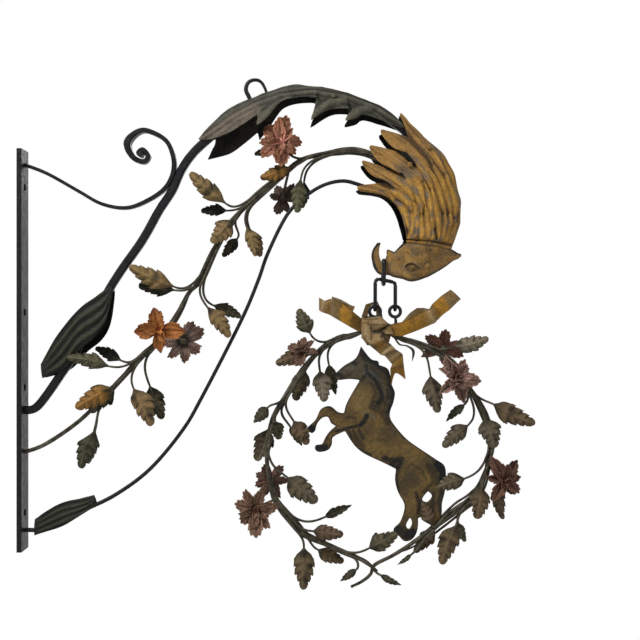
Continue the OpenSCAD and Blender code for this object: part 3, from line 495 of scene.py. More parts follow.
eyes = []
for x, shank in zip((left, right), links["shanks"]):
    r = links["eyeHalf"] * milli
    middle = Vector((x, 0, axis - r))
    foot = spot(shank)
    start = math.atan2(foot.z - middle.z, foot.x - middle.x)
    loop = [middle + Vector((math.cos(start + a), 0, math.sin(start + a))) * r
            for a in [2 * math.pi * k / 32 for k in range(33)]]
    end = mixed(middle, foot, links["shankEnd"])
    eyes.append(barAlong("eye", [end, foot] + loop, [links["eyeWire"] * milli] * 2, roundSection, 1))
finishBar(joinUp(eyes, "hangingEyes"), forgedIron, 40, "wreath", "iron", "hanging_eyes")

branches = {
    "left": [[34.8, 2.7], [34.4, 2], [33.2, 1.4], [32, 1.1], [30.4, 0.2], [28.9, -1.1], [27.8, -2.6],
             [26.6, -4.5], [25.2, -7], [24.7, -10.5], [25.1, -13.6], [25.8, -15.3], [27.4, -17.3],
             [28.5, -18.4], [30.6, -19.5], [32.5, -20.3], [34.4, -21, -1.9], [35.7, -22.1, -1.9]],
    "right": [[37.6, 2.6], [37, 1.9], [37.6, 1.3], [38.7, 1], [40.2, 0.4], [41.7, -0.3], [43.7, -1.7],
              [44.9, -3.8], [46.4, -6.4], [47.1, -9.1], [47, -10.5], [46.2, -13.4], [45.1, -14.8],
              [43.7, -15.7], [42.1, -17], [39.8, -18.9], [37.5, -20.4], [35.5, -21.5, 1.9],
              [35.1, -22.4, 1.9], [34.3, -23.1, 1.9], [33.1, -23.7, 1.9]],
    "half": [3.4, 4, 4.2, 4, 3.8, 3.6, 3.4, 3, 2.4], "turns": 2, "marks": [0.6, 12], "hug": 2.2,
    "strands": {"left": [[0.08, 0.3, -5, -2], [0.24, 0.46, 5, 2], [0.56, 0.84, -5, -2], [0.62, 0.8, 5.5, 2],
                         [0.7, 0.95, 4, -2]],
                "right": [[0.12, 0.34, 5, -2], [0.32, 0.52, 5, 2], [0.36, 0.55, -5, -2],
                          [0.48, 0.76, 7.5, -2], [0.5, 0.73, -6.5, 2], [0.54, 0.8, 12, 2]]}}
for side in ("left", "right"):
    name = side + "Branch"
    bar = boundStem(name, spots(branches[side]), branches["half"], 6, branches, branches["strands"][side])
    finishBar(bar, stemPaint, 50, "wreath", "olive_paint", side + "_branch", branches["marks"])
print("links and branches bent")


# beaten sheets: a grid laid on the form, raised by hammering, painted, then given its thickness
def beatenSheet(name, cells, shapeAt, outward, thickness, reliefAt, paintAt, coats, darkRim=True):
    sheet = fresh(bpy.ops.mesh.primitive_grid_add, x_subdivisions=cells[0], y_subdivisions=cells[1], size=2)
    sheet.name = name
    verts = sheet.data.vertices
    places = [((v.co.x + 1) / 2, (1 - v.co.y) / 2) for v in verts]
    for v, (a, d) in zip(verts, places):
        v.co = shapeAt(a, d)
    sheet.data.update()
    facing = sum(f.normal.dot(outward(f.center)) for f in sheet.data.polygons)
    if facing < 0:
        sheet.data.flip_normals()
        sheet.data.update()
    normals = [n.vector.copy() for n in sheet.data.vertex_normals]
    heights = [reliefAt(a, d, v.co.x / square, v.co.z / square) for v, (a, d) in zip(verts, places)]
    brush(sheet, lambda v: paintAt(*places[v.index], v.co.x / square, v.co.z / square, heights[v.index]))
    for v, n, h in zip(verts, normals, heights):
        v.co += n * h * milli
    thicken(sheet, thickness * milli, coats, len(coats) - 1 if darkRim else 0)
    smoothOver(sheet, 60)
    return sheet


def towardFront(place):
    return Vector((0, -1, 0))


def towardBack(place):
    return Vector((0, 1, 0))


halves = [("Front", "front", 1, towardFront), ("Back", "back", -1, towardBack)]


# the two halves of a piece; shapeOf gives the form of each
def beatHalves(name, node, slot, form, shapeOf, reliefAt, paintAt, coats):
    for label, key, sign, outward in halves:
        sheet = beatenSheet(name + label, form["cells"], shapeOf(key, sign), outward, form["thickness"],
                            reliefAt, paintAt, coats)
        fit(sheet, "bracket", slot, node + "_" + key)


# saddle leaf: [top, bottom, depth of the bottom edge] from the wall side to the neck
saddle = {
    "front": [[[17.9, 21.1], [18, 20.9], 9.6], [[19.3, 22.7], [19.3, 21], 12], [[20.8, 24], [21, 21.6], 15],
              [[22.3, 24.8], [22.6, 22.5], 20], [[23.4, 25.2], [23.8, 23.3], 22],
              [[24.2, 25.6], [23.8, 22.1], 32], [[25.2, 25.9], [24.8, 22.9], 28],
              [[26.1, 26.2], [26.1, 24.5], 22], [[27.4, 26.5], [27.6, 25], 20],
              [[28.6, 26.4], [29, 25.1], 20], [[29.7, 26.3], [29.7, 25], 22],
              [[30.2, 26.3], [29.1, 22.6], 30], [[31, 26.1], [30.2, 23.4], 26],
              [[31.8, 25.9], [31.5, 23.9], 20], [[32.7, 25.7], [33, 23.9], 20],
              [[33.2, 25.5], [32.5, 22.6], 26], [[34, 25.2], [33.6, 22.9], 24],
              [[34.8, 24.9], [34.4, 23.3], 20], [[36, 24.4], [36.1, 22.8], 16],
              [[37.2, 23.5], [37.2, 22.4], 12], [[38.1, 22.7], [38.1, 22.1], 10.5],
              [[38.4, 22.3], [38.4, 22.1], 10]],
    "back": [[[17.9, 21.1], [18, 20.9], 9.6], [[19.3, 22.7], [19.6, 21.2], 14],
             [[20.4, 23.7], [18.5, 19.4], 36], [[21.4, 24.3], [20.7, 20], 40],
             [[22.3, 24.8], [22.3, 21.1], 40], [[23.4, 25.2], [23.6, 22.1], 34],
             [[24.2, 25.6], [23.8, 21.4], 40], [[25.2, 25.9], [24.8, 22.5], 32],
             [[26.1, 26.2], [26.1, 24.3], 24], [[27.4, 26.5], [27.6, 24.9], 22],
             [[28.6, 26.4], [29, 25], 22], [[29.7, 26.3], [29.7, 24.9], 24], [[30.2, 26.3], [29, 22.6], 32],
             [[31, 26.1], [30.2, 23.3], 28], [[31.8, 25.9], [31.5, 23.8], 22],
             [[32.7, 25.7], [33, 23.8], 22], [[33.2, 25.5], [32.5, 22.6], 28],
             [[34, 25.2], [33.6, 22.8], 26], [[34.8, 24.9], [34.4, 23.2], 22],
             [[36, 24.4], [36.1, 22.7], 18], [[37.2, 23.5], [37.2, 22.3], 14],
             [[38.1, 22.7], [38.1, 22], 11], [[38.4, 22.3], [38.4, 22], 10]],
    "corners": {"front": [4, 5, 10, 11, 14, 15], "back": [1, 2, 5, 6, 11, 12, 15, 16]},
    "ridge": 5.15, "thickness": 2, "cells": (150, 18),
    "midrib": [(18.2, 21), (19, 21.5), (21.4, 23.2), (23.9, 24.5), (26.2, 25.25), (29.2, 25.6),
               (32.3, 25.3), (35.4, 24.2), (38.3, 22.3)],
    "lobeRibs": [[(27, 24.9), (25.8, 24.3), (24.8, 23.3), (24.1, 22.3)],
                 [(32.4, 24.9), (31, 24.5), (30, 23.6), (29.3, 22.8)],
                 [(35, 24.1), (34, 23.8), (33.2, 23.2), (32.7, 22.7)]],
    "ridges": [[1.3, 0, 0.13], [-1.1, 0.32, 0.14], [-0.6, 0.8, 0.12]],
    "lobeRidges": [[1.5, 0, 0.3], [-0.7, 0.55, 0.2]], "lumps": 0.5, "split": 2.5,
    # rib is a lighter tone laid on as painted highlight and in streaks, groove a dark tone laid on as
    # painted shade
    "olive": tint(64, 63, 54), "rib": tint(94, 89, 75), "groove": tint(28, 28, 23),
    "pink": tint(104, 90, 79)}


def saddleRelief(a, d, x, z):
    off = nearLine(x, z, saddle["midrib"])
    ribs = min(nearLine(x, z, rib) for rib in saddle["lobeRibs"])
    lumps = saddle["lumps"] * uneven(x * 0.9, z * 2.4, 3)
    return ridged(off, saddle["ridges"]) + ridged(ribs, saddle["lobeRidges"]) + lumps


# raised ribs painted lighter as painted highlight, grooves darker as painted shade, a painted highlight
# along the lower rim; the pink towards the wall end is the paint's own tint
def saddlePaint(a, d, x, z, h):
    streak = patchy(x * 0.5 + z * 0.3, z * 5 - x * 1.1, 7)
    coat = blended(saddle["olive"], saddle["rib"], 0.5 * ease(h, 0.1, 1.4) + 0.35 * streak * streak)
    coat = blended(coat, saddle["groove"], 0.85 * ease(-h, 0.05, 0.9))
    pinkish = ease(d, 0.2, 0.55) * (0.35 + 0.65 * streak) * ease(24.6 - x, 0, 1.5)
    coat = blended(coat, saddle["pink"], 0.85 * pinkish)
    return blended(coat, saddle["rib"], 0.6 * ease(d, 0.93, 0.98) * ease(streak, 0.2, 0.6))


def saddleHalf(key, sign):
    form = saddle[key]
    last = len(form) - 1
    columns = [Vector((*f[0], *f[1], f[2], f[2] - 1 if i < 1 or i > last - 3 else saddle["ridge"]))
               for i, f in enumerate(form)]

    def at(a, d):
        c = runAt(columns, a, saddle["corners"][key])
        depth = mixed(c[5], c[4], math.sin(math.pi / 2 * d))
        return spot((mixed(c[0], c[2], d ** saddle["split"]), mixed(c[1], c[3], d)), -sign * depth)

    return at


beatHalves("saddleLeaf", "saddle_leaf", "olive_paint", saddle, saddleHalf, saddleRelief, saddlePaint,
           [olivePaint, oliveInside])
print("saddle leaf beaten")

husk = {
    "form": [[[2.2, -1.4], [2.4, -2.8], 9.5], [[4, 1.6], [4.6, -1.8], 12], [[6, 4], [6, 0], 13],
             [[7.7, 5.3], [7.6, 1.3], 12], [[8.6, 6], [8.7, 2.9], 10], [[9.2, 6.4], [9.4, 5.8], 8]],
    "thickness": 2, "cells": (60, 36), "ribs": 3.5, "ribHeight": 1.3, "lumps": 0.5,
    # rib is laid on as painted highlight, groove as painted shade
    "olive": tint(30, 32, 26), "rib": tint(58, 58, 46), "groove": tint(14, 15, 12),
    "backReach": (0.5, -0.3)}


def huskRelief(a, d, x, z):
    wave = math.cos(2 * math.pi * husk["ribs"] * (d + 0.05 * math.sin(5 * a)))
    raised = husk["ribHeight"] * wave + husk["lumps"] * uneven(x, z, 1)
    return raised * ease(a, 0, 0.15) * ease(1 - a, 0, 0.25)


# painted highlight on the raised ribs, painted shade in the grooves, and darker towards the upper end
def huskPaint(a, d, x, z, h):
    coat = blended(husk["olive"], husk["rib"], 0.8 * ease(h, 0.1, 1.4))
    return blended(coat, husk["groove"], 0.8 * ease(-h, 0.1, 1.2) + 0.2 * ease(a, 0.9, 1))


def columnsOf(form):
    return [Vector((*top, *bottom, depth)) for top, bottom, depth in form]


def huskHalf(key, sign):
    columns = columnsOf(husk["form"])

    def at(a, d):
        c = runAt(columns, a)
        past = [r * math.sin(math.pi * a) if sign < 0 else 0 for r in husk["backReach"]]
        depth = mixed(c[4] - 2, c[4], math.sin(math.pi / 2 * d)) + 2 * math.sin(math.pi * d)
        return spot((mixed(c[0], c[2] + past[0], d), mixed(c[1], c[3] + past[1], d)), -sign * depth)

    return at


beatHalves("husk", "husk", "olive_paint", husk, huskHalf, huskRelief, huskPaint, [olivePaint, darkInside])

braceLeaf = {
    "form": [[[1.5, -16.9], [1.5, -18.5], 6], [[4, -15.4], [4.2, -17.6], 8], [[6, -14.9], [6, -16.6], 8],
             [[7.4, -14.5], [7.7, -15.5], 5]],
    "thickness": 2, "cells": (40, 20)}
braceColumns = columnsOf(braceLeaf["form"])
braceHalves = []
for label, key, sign, outward in halves:

    def braceAt(a, d):
        c = runAt(braceColumns, a)
        depth = mixed(1.5, c[4] - 2, math.sin(math.pi / 2 * d)) + 2 * math.sin(math.pi * d)
        return spot((mixed(c[0], c[2], d), mixed(c[1], c[3], d)), -sign * depth)

    braceHalves.append(beatenSheet("braceLeaf" + label, braceLeaf["cells"], braceAt, outward,
                                   braceLeaf["thickness"], huskRelief, huskPaint, [olivePaint, darkInside]))
fit(joinUp(braceHalves, "braceLeaf"), "bracket", "olive_paint", "brace_leaf")
print("husks beaten")

# neck: lines run from the feather ends down to the collar, beaten into staggered barbs
neck = {
    "ends": [[33.95, 15.7, 22], [34.1, 16.3, 24], [36.6, 16.6, 22], [34.2, 18.3, 25], [34.3, 18.7, 25],
             [37.6, 17.6, 24], [34.9, 19.8, 25], [35.1, 20.2, 25], [38.6, 19.4, 24], [36, 21.4, 22],
             [36.2, 21.8, 21], [38.8, 21.1, 20], [37.9, 23.3, 12], [38.1, 23.5, 10], [38.6, 22.9, 3]],
    "inner": [[36.3, 15.3], [37.7, 14.1], [38.4, 12.2], [38.6, 10.7]],
    "outer": [[42.6, 19], [43.9, 15.2], [43.9, 12.6], [43.1, 10]],
    "edgeDepth": [16, 16, 15, 14], "seam": 2.1, "swell": 22, "thickness": 2, "cells": (168, 84),
    "reach": {"front": [0, 0, 0, 0], "back": [0.2, 0.35, 0.35, 0.2]},
    "barbs": 10.6, "strokes": 2.3, "height": 4.2, "tips": [0.4, 0.14, 0.14, 0.14, 0.1], "bulge": 0.11,
    "corners": [[0.21, 0.16], [0.34, 0.1], [0.52, 0.12], [0.74, 0.08]],
    "collar": [[1.6, 0.968, 0.013], [-1.8, 0.938, 0.012]],
    # bright is laid on as painted highlight and in the feather ends' streaks; groove as painted shade and in
    # dark streaks
    "ochre": tint(132, 97, 43), "bright": tint(176, 133, 58), "tan": tint(142, 108, 64),
    "umber": tint(104, 90, 74), "groove": tint(48, 35, 19)}


def neckRow(row, a, reach):
    inner = Vector((neck["inner"][row][0] - reach[row], neck["inner"][row][1]))
    p = inner.lerp(Vector(neck["outer"][row]), a)
    depth = mixed(neck["edgeDepth"][row], neck["seam"], a) + neck["swell"] * math.sin(math.pi * a)
    return Vector((p.x, p.y, depth))


def featherEnd(a):
    s = a * (len(neck["ends"]) - 1)
    i = min(len(neck["ends"]) - 2, int(s))
    p = Vector(neck["ends"][i]).lerp(Vector(neck["ends"][i + 1]), s - i)
    if i % 3 == 0:                                   # a rounded tip
        root = neckRow(0, a, neck["reach"]["front"])
        off = Vector((p.x - root.x, p.y - root.y, 0)).normalized()
        p += off * neck["tips"][i // 3] * math.sin(math.pi * (s - i))
    elif i % 3 == 2 and i < 10:                      # each feather's lower edge is full
        edge = Vector(neck["ends"][i + 1]) - Vector(neck["ends"][i])
        p += Vector((-edge.y, edge.x, 0)) * neck["bulge"] * math.sin(math.pi * (s - i))
    return p


lanes = [(random.Random(60 + k).uniform(0.85, 1.2), random.Random(90 + k).random()) for k in range(12)]


def barbAt(a, d):                                    # [height on the nearest barb, its number]
    s = neck["barbs"] * (a + 0.022 * math.sin(7 * d + 6 * a)) + 1
    best, number = -1, 0
    for lane in (math.floor(s) - 1, math.floor(s), math.floor(s) + 1):
        stretch, start = lanes[lane % 12]
        g = neck["strokes"] * d * stretch + start
        half = 0.86 * math.sin(math.pi * (g % 1)) ** 0.6 + 0.08
        lean = 0.5 + 0.2 * math.sin(math.pi * g + lane)
        h = 1 - (abs(s - lane - lean) / half) ** 1.3
        if h > best:
            best, number = h, lane * 9 + math.floor(g)
    return max(best, -0.2), number


def featherRidge(a):
    q = (a * 14 + 1) % 3 - 1.5
    return 0.8 - 1.5 * (abs(q) / 1.5) ** 1.4 + 0.22 * math.cos(7 * q)


def neckRelief(a, d, x, z):
    barb = barbAt(a, d)[0] - 0.4
    collar = ridged(d, neck["collar"])
    body = mixed(0.75 * featherRidge(a), barb, ease(d, 0.12, 0.34)) * (1 - ease(d, 0.88, 0.95))
    dents = 0.8 * uneven(x * 1.4, z * 0.9, 5) + 0.5 * uneven(a * 40, d * 12, 1)
    fading = 1 - 0.85 * ease(a, 0.94, 1)             # flat where the two halves meet
    return (neck["height"] * body * ease(a, 0, 0.03) + collar + dents) * fading


# painted highlight on the raised barbs and painted shade in the grooves and in the collar's groove, over tan
# ends, umber smears and streaks
def neckPaint(a, d, x, z, h):
    number = barbAt(a, d)[1]
    lot = random.Random(number).random()
    streak = patchy(a * 34, d * 7, 3)
    coat = blended(neck["ochre"], neck["bright"], (0.3 + 0.7 * streak) * ease(h, 0.2, 2))
    coat = blended(coat, neck["tan"], ease(0.42 - d, 0, 0.35) * 0.7)
    smear = patchy(a * 13 + d * 2, d * 8, 8)
    coat = blended(coat, neck["umber"], 0.9 * ease(smear + 0.16 * lot, 0.58, 0.76) * ease(d, 0.08, 0.2))
    coat = blended(coat, neck["groove"], 0.85 * ease(-h, -0.2, 1.5) + 0.3 * ease(0.35 - streak, 0, 0.2))
    quill = patchy(a * 58, d * 6, 11)
    worn = 1 - ease(d, 0.15, 0.45)                   # the feather ends are streaked and worn
    coat = blended(coat, neck["groove"], 0.75 * worn * ease(0.46 - quill, 0, 0.22))
    coat = blended(coat, neck["bright"], 0.45 * worn * ease(quill, 0.6, 0.8))
    return blended(coat, neck["groove"], 0.8 * ease(d, 0.92, 0.94) * (1 - ease(d, 0.945, 0.965)))


def neckHalf(key, sign):
    reach = neck["reach"][key]

    def at(a, d):
        line = [featherEnd(a)] + [neckRow(row, a, reach) for row in range(4)]
        p = runAt(line, d)
        knob = max(size * hump(d - c, 0.05) for c, size in neck["corners"]) * ease(a, 0.7, 1)
        return spot((p.x + knob, p.y + knob * (0.5 - d)), -sign * p.z)

    return at


beatHalves("neck", "neck", "gold_paint", neck, neckHalf, neckRelief, neckPaint, [goldPaint, darkInside])
print("neck beaten")

head = {
    "under": [[38.3, 7.1], [39.1, 6.85], [40, 7], [40.9, 7.35], [41.7, 7.8], [42.5, 8.3], [43.3, 8.9]],
    "cheeks": [[[36.7, 10], [36.7, 7.6]], [[37.4, 9.7], [37.4, 7.3]]],
    "crest": [[[43.7, 9.6], [43.8, 9.1]], [[44.1, 9.45], [44.1, 9.35]]],
    "cheekDepth": 10, "jawDepth": 7, "chinDepth": 2, "crestDepth": 2, "swell": 8,
    "thickness": 2, "cells": (150, 50), "faceFrom": 0.16, "faceTo": 0.9,
    "eye": (39.15, 8.2), "eyeSize": (0.72, 0.42), "pupil": (39.3, 8.1),
    "ochre": tint(144, 110, 58), "tan": tint(118, 95, 62), "dark": tint(42, 31, 19)}


def headColumn(a, reach):                            # [top, under, top depth, under depth, swell]
    cheeks = [Vector((*c[0], *c[1], head["cheekDepth"], head["cheekDepth"], 0)) for c in head["cheeks"]]
    crest = [Vector((*c[0], *c[1], head["crestDepth"], head["crestDepth"], 0)) for c in head["crest"]]

    def face(u):
        top = neckRow(3, u, reach)
        under = runAt([Vector(p) for p in head["under"]], u)
        jaw = mixed(head["jawDepth"], head["chinDepth"], ease(u, 0, 0.4))
        swell = head["swell"] * math.sin(math.pi * u) ** 1.6
        return Vector((top.x, top.y, under.x, under.y, top.z, jaw, swell))

    start, end = head["faceFrom"], head["faceTo"]
    if a < start:
        return runAt(cheeks + [face(0)], a / start, (1,))
    if a > end:
        return runAt([face(1)] + crest, (a - end) / (1 - end), (1,))
    return face((a - start) / (end - start))


def eyeOff(x, z):                                    # 1 on the line of the lids
    dx, dz = x - head["eye"][0], z - head["eye"][1] + 0.2 * (x - head["eye"][0])
    return (dx / head["eyeSize"][0]) ** 2 + abs(dz) / head["eyeSize"][1]


def headRelief(a, d, x, z):
    eye = eyeOff(x, z)
    pupil = math.hypot(x - head["pupil"][0], z - head["pupil"][1])
    lids = 1.5 * hump(eye - 1.25, 0.22) - 1.6 * (1 - ease(eye, 0.7, 1.05)) + 1.2 * hump(pupil, 0.16)
    cheek = 0.9 * uneven(x * 0.9, z * 1.3, 9) + 0.3 * uneven(x * 3, z * 3, 2)
    return lids + cheek - 1.2 * hump(d - 0.02, 0.03)


def headPaint(a, d, x, z, h):
    eye = eyeOff(x, z)
    patch = patchy(x * 1.1, z * 1.5, 4)
    streak = patchy(x * 1.6 + z, z * 5 - x, 6)
    coat = blended(head["ochre"], head["tan"], ease(patch * 0.6 + streak * 0.4, 0.35, 0.65))
    coat = blended(coat, neck["umber"], 0.7 * ease(streak, 0.55, 0.75) * ease(patch, 0.4, 0.6))
    coat = blended(coat, head["dark"], 0.5 * ease(0.36 - streak, 0, 0.15))
    # painted shade in the dents
    coat = blended(coat, head["dark"], 0.35 * ease(-h, -0.2, 0.9))
    pupil = math.hypot(x - head["pupil"][0], z - head["pupil"][1])
    coat = blended(coat, head["dark"], min(1, 0.85 * hump(eye - 0.9, 0.28) + 0.9 * hump(pupil, 0.15)))
    # painted shade along the under edge and along the top, where the head meets the collar
    edgeShade = 0.95 * ease(d, 0.88, 0.98) + 0.55 * ease(0.05 - d, 0, 0.05)
    return blended(coat, head["dark"], min(1, edgeShade))


def headHalf(key, sign):
    reach = neck["reach"][key]

    def at(a, d):
        c = headColumn(a, reach)
        depth = mixed(c[4], c[5], math.sin(math.pi / 2 * d)) + c[6] * math.sin(math.pi * d)
        return spot((mixed(c[0], c[2], d), mixed(c[1], c[3], d)), -sign * depth)

    return at


beatHalves("head", "head", "gold_paint", head, headHalf, headRelief, headPaint, [goldPaint, darkInside])
print("head beaten")

# ribbon pieces: rows across the band, from end to end
ribbons = {
    "left": [[[29.9, 5.2, -6], [29.9, 4.6, -8], [29.9, 4, -6]],
             [[30.45, 4.9, -11], [30.3, 4.4, -13], [30.15, 3.8, -11]],
             [[31, 5.1, -12], [31, 4.3, -14], [31, 3.5, -11]],
             [[32, 4.8, -6], [32, 3.8, -8], [32, 2.9, -6]],
             [[33.2, 3.9, -10], [33.1, 3.1, -12], [33, 2.3, -9]],
             [[34.2, 3.1, -3], [34.2, 2.4, -4], [34.2, 1.7, -3]]],
    "leftFold": [[[31.2, 5.35, -1], [31.2, 5.2, -6], [31.3, 4.7, -9]],
                 [[32.2, 5, 1], [32.1, 4.8, -6], [32, 4.3, -8]],
                 [[33, 4.5, 2], [32.9, 4.4, -5], [32.8, 3.9, -7]],
                 [[33.5, 4.35, 1], [33.4, 4.1, -4], [33.25, 3.75, -7]]],
    "right": [[[36.7, 2.5, -7], [36.8, 2, -8], [36.8, 1.4, -7]],
              [[38.2, 2.8, -11], [38.2, 2.1, -12], [38.2, 1.4, -11]],
              [[39.4, 3.4, -4], [39.5, 2.7, -6], [39.6, 1.9, -4]],
              [[40.9, 4.1, -11], [41.1, 3.4, -13], [41.4, 2.7, -11]],
              [[41.2, 4.6, -7], [41.7, 4.1, -9], [42.2, 3.5, -7]],
              [[42.1, 5.4, -5], [42.5, 4.7, -7], [42.9, 4, -5]],
              [[43, 6, -9], [43.5, 5.6, -10], [44, 5.1, -9]]],
    "rightFold": [[[38.2, 2.8, -3], [38.3, 2.6, -7], [38.4, 2.2, -9]],
                  [[39, 3.7, 1], [39.1, 3.3, -4], [39.2, 2.7, -6]],
                  [[39.7, 4.2, 2], [39.8, 3.8, -3], [39.9, 3, -5]],
                  [[40.4, 4.2, 2], [40.4, 3.8, -3], [40.4, 3.3, -6]],
                  [[40.9, 4.1, -2], [41, 3.9, -6], [41.1, 3.6, -9]]],
    "tail": [[[34.3, 1.4, -11], [35.2, 1.6, -12], [36.2, 1.9, -11]],
             [[34.9, 0.5, -15], [35.7, 0.8, -16], [36.4, 1.1, -15]],
             [[36, -0.4, -10], [36.6, 0.1, -11], [37.1, 0.5, -10]],
             [[36.4, -0.5, -14], [36.9, -0.2, -15], [37.6, 0, -14]],
             [[37.2, -1.4, -9], [37.6, -0.9, -10], [38.2, -0.4, -9]],
             [[37, -1.8, -12], [37.6, -1.6, -13], [38.3, -1.4, -12]],
             [[37.1, -3.6, -8], [37.5, -2.3, -10], [38.5, -2.9, -9]]],
    "cells": {"left": (90, 16), "right": (110, 16), "fold": (40, 16), "tail": (80, 18), "facet": (14, 10),
              "arch": (40, 8)},
    # edge and gap are the colours of painted shade
    "thickness": 1.6, "edge": tint(54, 40, 18), "gap": tint(16, 13, 9),
    # the stops below paint the folds' light and shade along each band: light stops are painted highlight on
    # the ridges, dark stops painted shade in the troughs, mixed with the ribbon's own yellow, amber and tan
    "coats": {"yellow": tint(146, 104, 30), "amber": tint(114, 82, 28), "tan": tint(112, 92, 60),
              "light": tint(142, 120, 86), "dark": tint(78, 58, 26)},
    "leftCoat": [[0, "amber"], [0.08, "tan"], [0.17, "light"], [0.26, "tan"], [0.36, "amber"],
                 [0.44, "light"], [0.52, "tan"], [0.66, "yellow"], [0.8, "amber"], [1, "dark"]],
    "rightCoat": [[0, "dark"], [0.1, "amber"], [0.22, "yellow"], [0.42, "amber"], [0.5, "light"],
                  [0.56, "tan"], [0.62, "amber"], [0.7, "yellow"], [0.82, "yellow"], [0.88, "tan"],
                  [1, "tan"]],
    "tailCoat": [[0, "tan"], [0.1, "light"], [0.17, "tan"], [0.22, "dark"], [0.3, "tan"], [0.38, "light"],
                 [0.49, "dark"], [0.53, "tan"], [0.6, "light"], [0.67, "dark"], [0.74, "amber"],
                 [0.88, "dark"], [1, "amber"]],
    "foldCoat": [[0, "tan"], [0.5, "dark"], [1, "tan"]],
    "knotCoat": [[0, "tan"], [0.5, "light"], [1, "tan"]]}
knot = {
    "rows": [[[36.2, 3.3, 14], [36.2, 2.9, 14], [36.2, 2.4, 13]],
             [[35.7, 3.4, 15], [35.7, 2.7, 15], [35.7, 2, 14]],
             [[34.7, 3.4, 14], [34.7, 2.5, 14], [34.7, 1.5, 13]],
             [[34.2, 3.5, 6], [34.1, 2.5, 6], [34.2, 1.4, 6]],
             [[34.2, 3.2, -5], [34.1, 2.2, -5], [34.2, 1.2, -5]],
             [[34.7, 3.1, -11], [34.7, 1.8, -12], [34.7, 0.5, -11]],
             [[35.7, 3.2, -11], [35.7, 1.8, -12], [35.7, 0.4, -11]],
             [[37, 2.6, -3.6], [37.1, 1.7, -4], [36.9, 0.8, -3.6]]],
    "facets": [[[[34.5, 3.2, -8], [34.9, 2.5, -15]], [[36, 3.4, -9], [36.85, 2.6, -16]]],
               [[[34.9, 2.55, -15.5], [35.4, 1.85, -11]], [[36.85, 2.6, -16.5], [36, 2.1, -11]]],
               [[[34.2, 2.8, -7], [34.1, 1.2, -7]], [[34.95, 2.55, -15], [35.1, 1, -15]]],
               [[[35.1, 1.95, -15], [34.6, 0.5, -12]], [[36, 1.65, -12], [36.4, 1.1, -11]]],
               [[[36, 2, -11], [36.3, 1.65, -12]], [[37, 2.5, -14], [37.3, 1.6, -12]]]],
    "arch": [[[36.3, 3.2, 12.5], [35.7, 3.2, 12.5]], [[36.15, 4.1, 14], [35.7, 3.9, 14]],
             [[35.75, 4.9, 15], [35.5, 4.25, 14.5]], [[34.65, 4.55, 14], [34.95, 4.15, 14]],
             [[34.25, 3.4, 11], [34.75, 3.3, 12]]],
    # where the knot's folds part, painted as shade
    "slots": [[(35.35, 1.85), (35.9, 1.95), (36.5, 2.2)], [(35.9, 1.85), (36.25, 1.75), (36.15, 1.35)]],
    "middle": [35.8, 2.2, 0], "cells": (70, 20)}


def bandAt(rows):
    lines = [[Vector(p) for p in row] for row in rows]

    def at(a, d):
        return spot(runAt([runAt(line, d) for line in lines], a, range(len(lines))))

    return at


def bandRelief(a, d, x, z):
    return 0.5 * uneven(x * 1.6, z * 1.6, 6) + 0.3 * hump(d, 0.05) + 0.3 * hump(1 - d, 0.05)


def bandPaint(stops):
    tones = ribbons["coats"]

    def paint(a, d, x, z, h):
        patch = patchy(x * 0.9 + 0.4 * z, z * 1.2, 8)
        for (low, first), (high, second) in zip(stops, stops[1:]):
            if low <= a <= high:
                coat = blended(tones[first], tones[second], (a - low) / (high - low))
        coat = blended(coat, tones["amber"], 0.6 * ease(patch, 0.5, 0.8))
        # painted shade along each band's edges and ends and between the knot's facets
        edgeShade = 0.75 * hump(min(d, 1 - d), 0.045) + 0.6 * hump(min(a, 1 - a), 0.012)
        dark = 0.35 * ease(0.45 - patch, 0, 0.25) + edgeShade
        coat = blended(coat, ribbons["edge"], min(1, dark))
        # painted shade in the slots of the knot
        slot = min(nearLine(x, z, line) for line in knot["slots"])
        return blended(coat, ribbons["gap"], hump(slot, 0.2))
    return paint


def band(name, rows, coat, kind):
    return beatenSheet(name, ribbons["cells"][kind], bandAt(rows), towardFront, ribbons["thickness"],
                       bandRelief, bandPaint(ribbons[coat]), [ribbonPaint], False)


for side in ("left", "right"):
    name = "bow" + side.capitalize() + "Ribbon"
    fold = band("fold", ribbons[side + "Fold"], "foldCoat", "fold")
    piece = joinUp([band(name, ribbons[side], side + "Coat", side), fold], name)
    fit(piece, "wreath", "ribbon_paint", "bow_" + side + "_ribbon")
fit(band("bowTail", ribbons["tail"], "tailCoat", "tail"), "wreath", "ribbon_paint", "bow_tail")


def fromKnot(place):
    middle = spot(knot["middle"])
    return Vector((place.x - middle.x, place.y - middle.y, 0)).normalized()


wrap = beatenSheet("bowKnot", knot["cells"], bandAt(knot["rows"]), fromKnot, ribbons["thickness"],
                   bandRelief, bandPaint(ribbons["knotCoat"]), [ribbonPaint], False)
facets = [band("facet", rows, "knotCoat", "facet") for rows in knot["facets"]]
facets.append(band("arch", knot["arch"], "foldCoat", "arch"))
piece = joinUp([wrap] + facets, "bowKnot")
fit(piece, "wreath", "ribbon_paint", "bow_knot")
print("bow tied")


# a leaf or petal is cut from sheet: its edge is listed as [place on the midrib, place along, half width]
def cutBlade(name, edge, across, liftAt, markAt, thickness, coats):
    last = len(edge) - 1
    blade = fresh(bpy.ops.mesh.primitive_grid_add, x_subdivisions=last * 3, y_subdivisions=across, size=2)
    blade.name = name
    marks = []
    for v in blade.data.vertices:
        s, t = (v.co.x + 1) / 2 * last, v.co.y
        i = min(last - 1, int(s + 1e-6))
        rib, x, w = Vector(edge[i]).lerp(Vector(edge[i + 1]), s - i)
        v.co = (mixed(rib, x, abs(t) ** 1.15), t * w, liftAt(rib, t, w))
        marks.append(markAt(rib, t, w))
    brush(blade, lambda v: marks[v.index])           # turned into colour on each copy
    thicken(blade, thickness, coats, 0)
    smoothOver(blade, 50)
    return blade


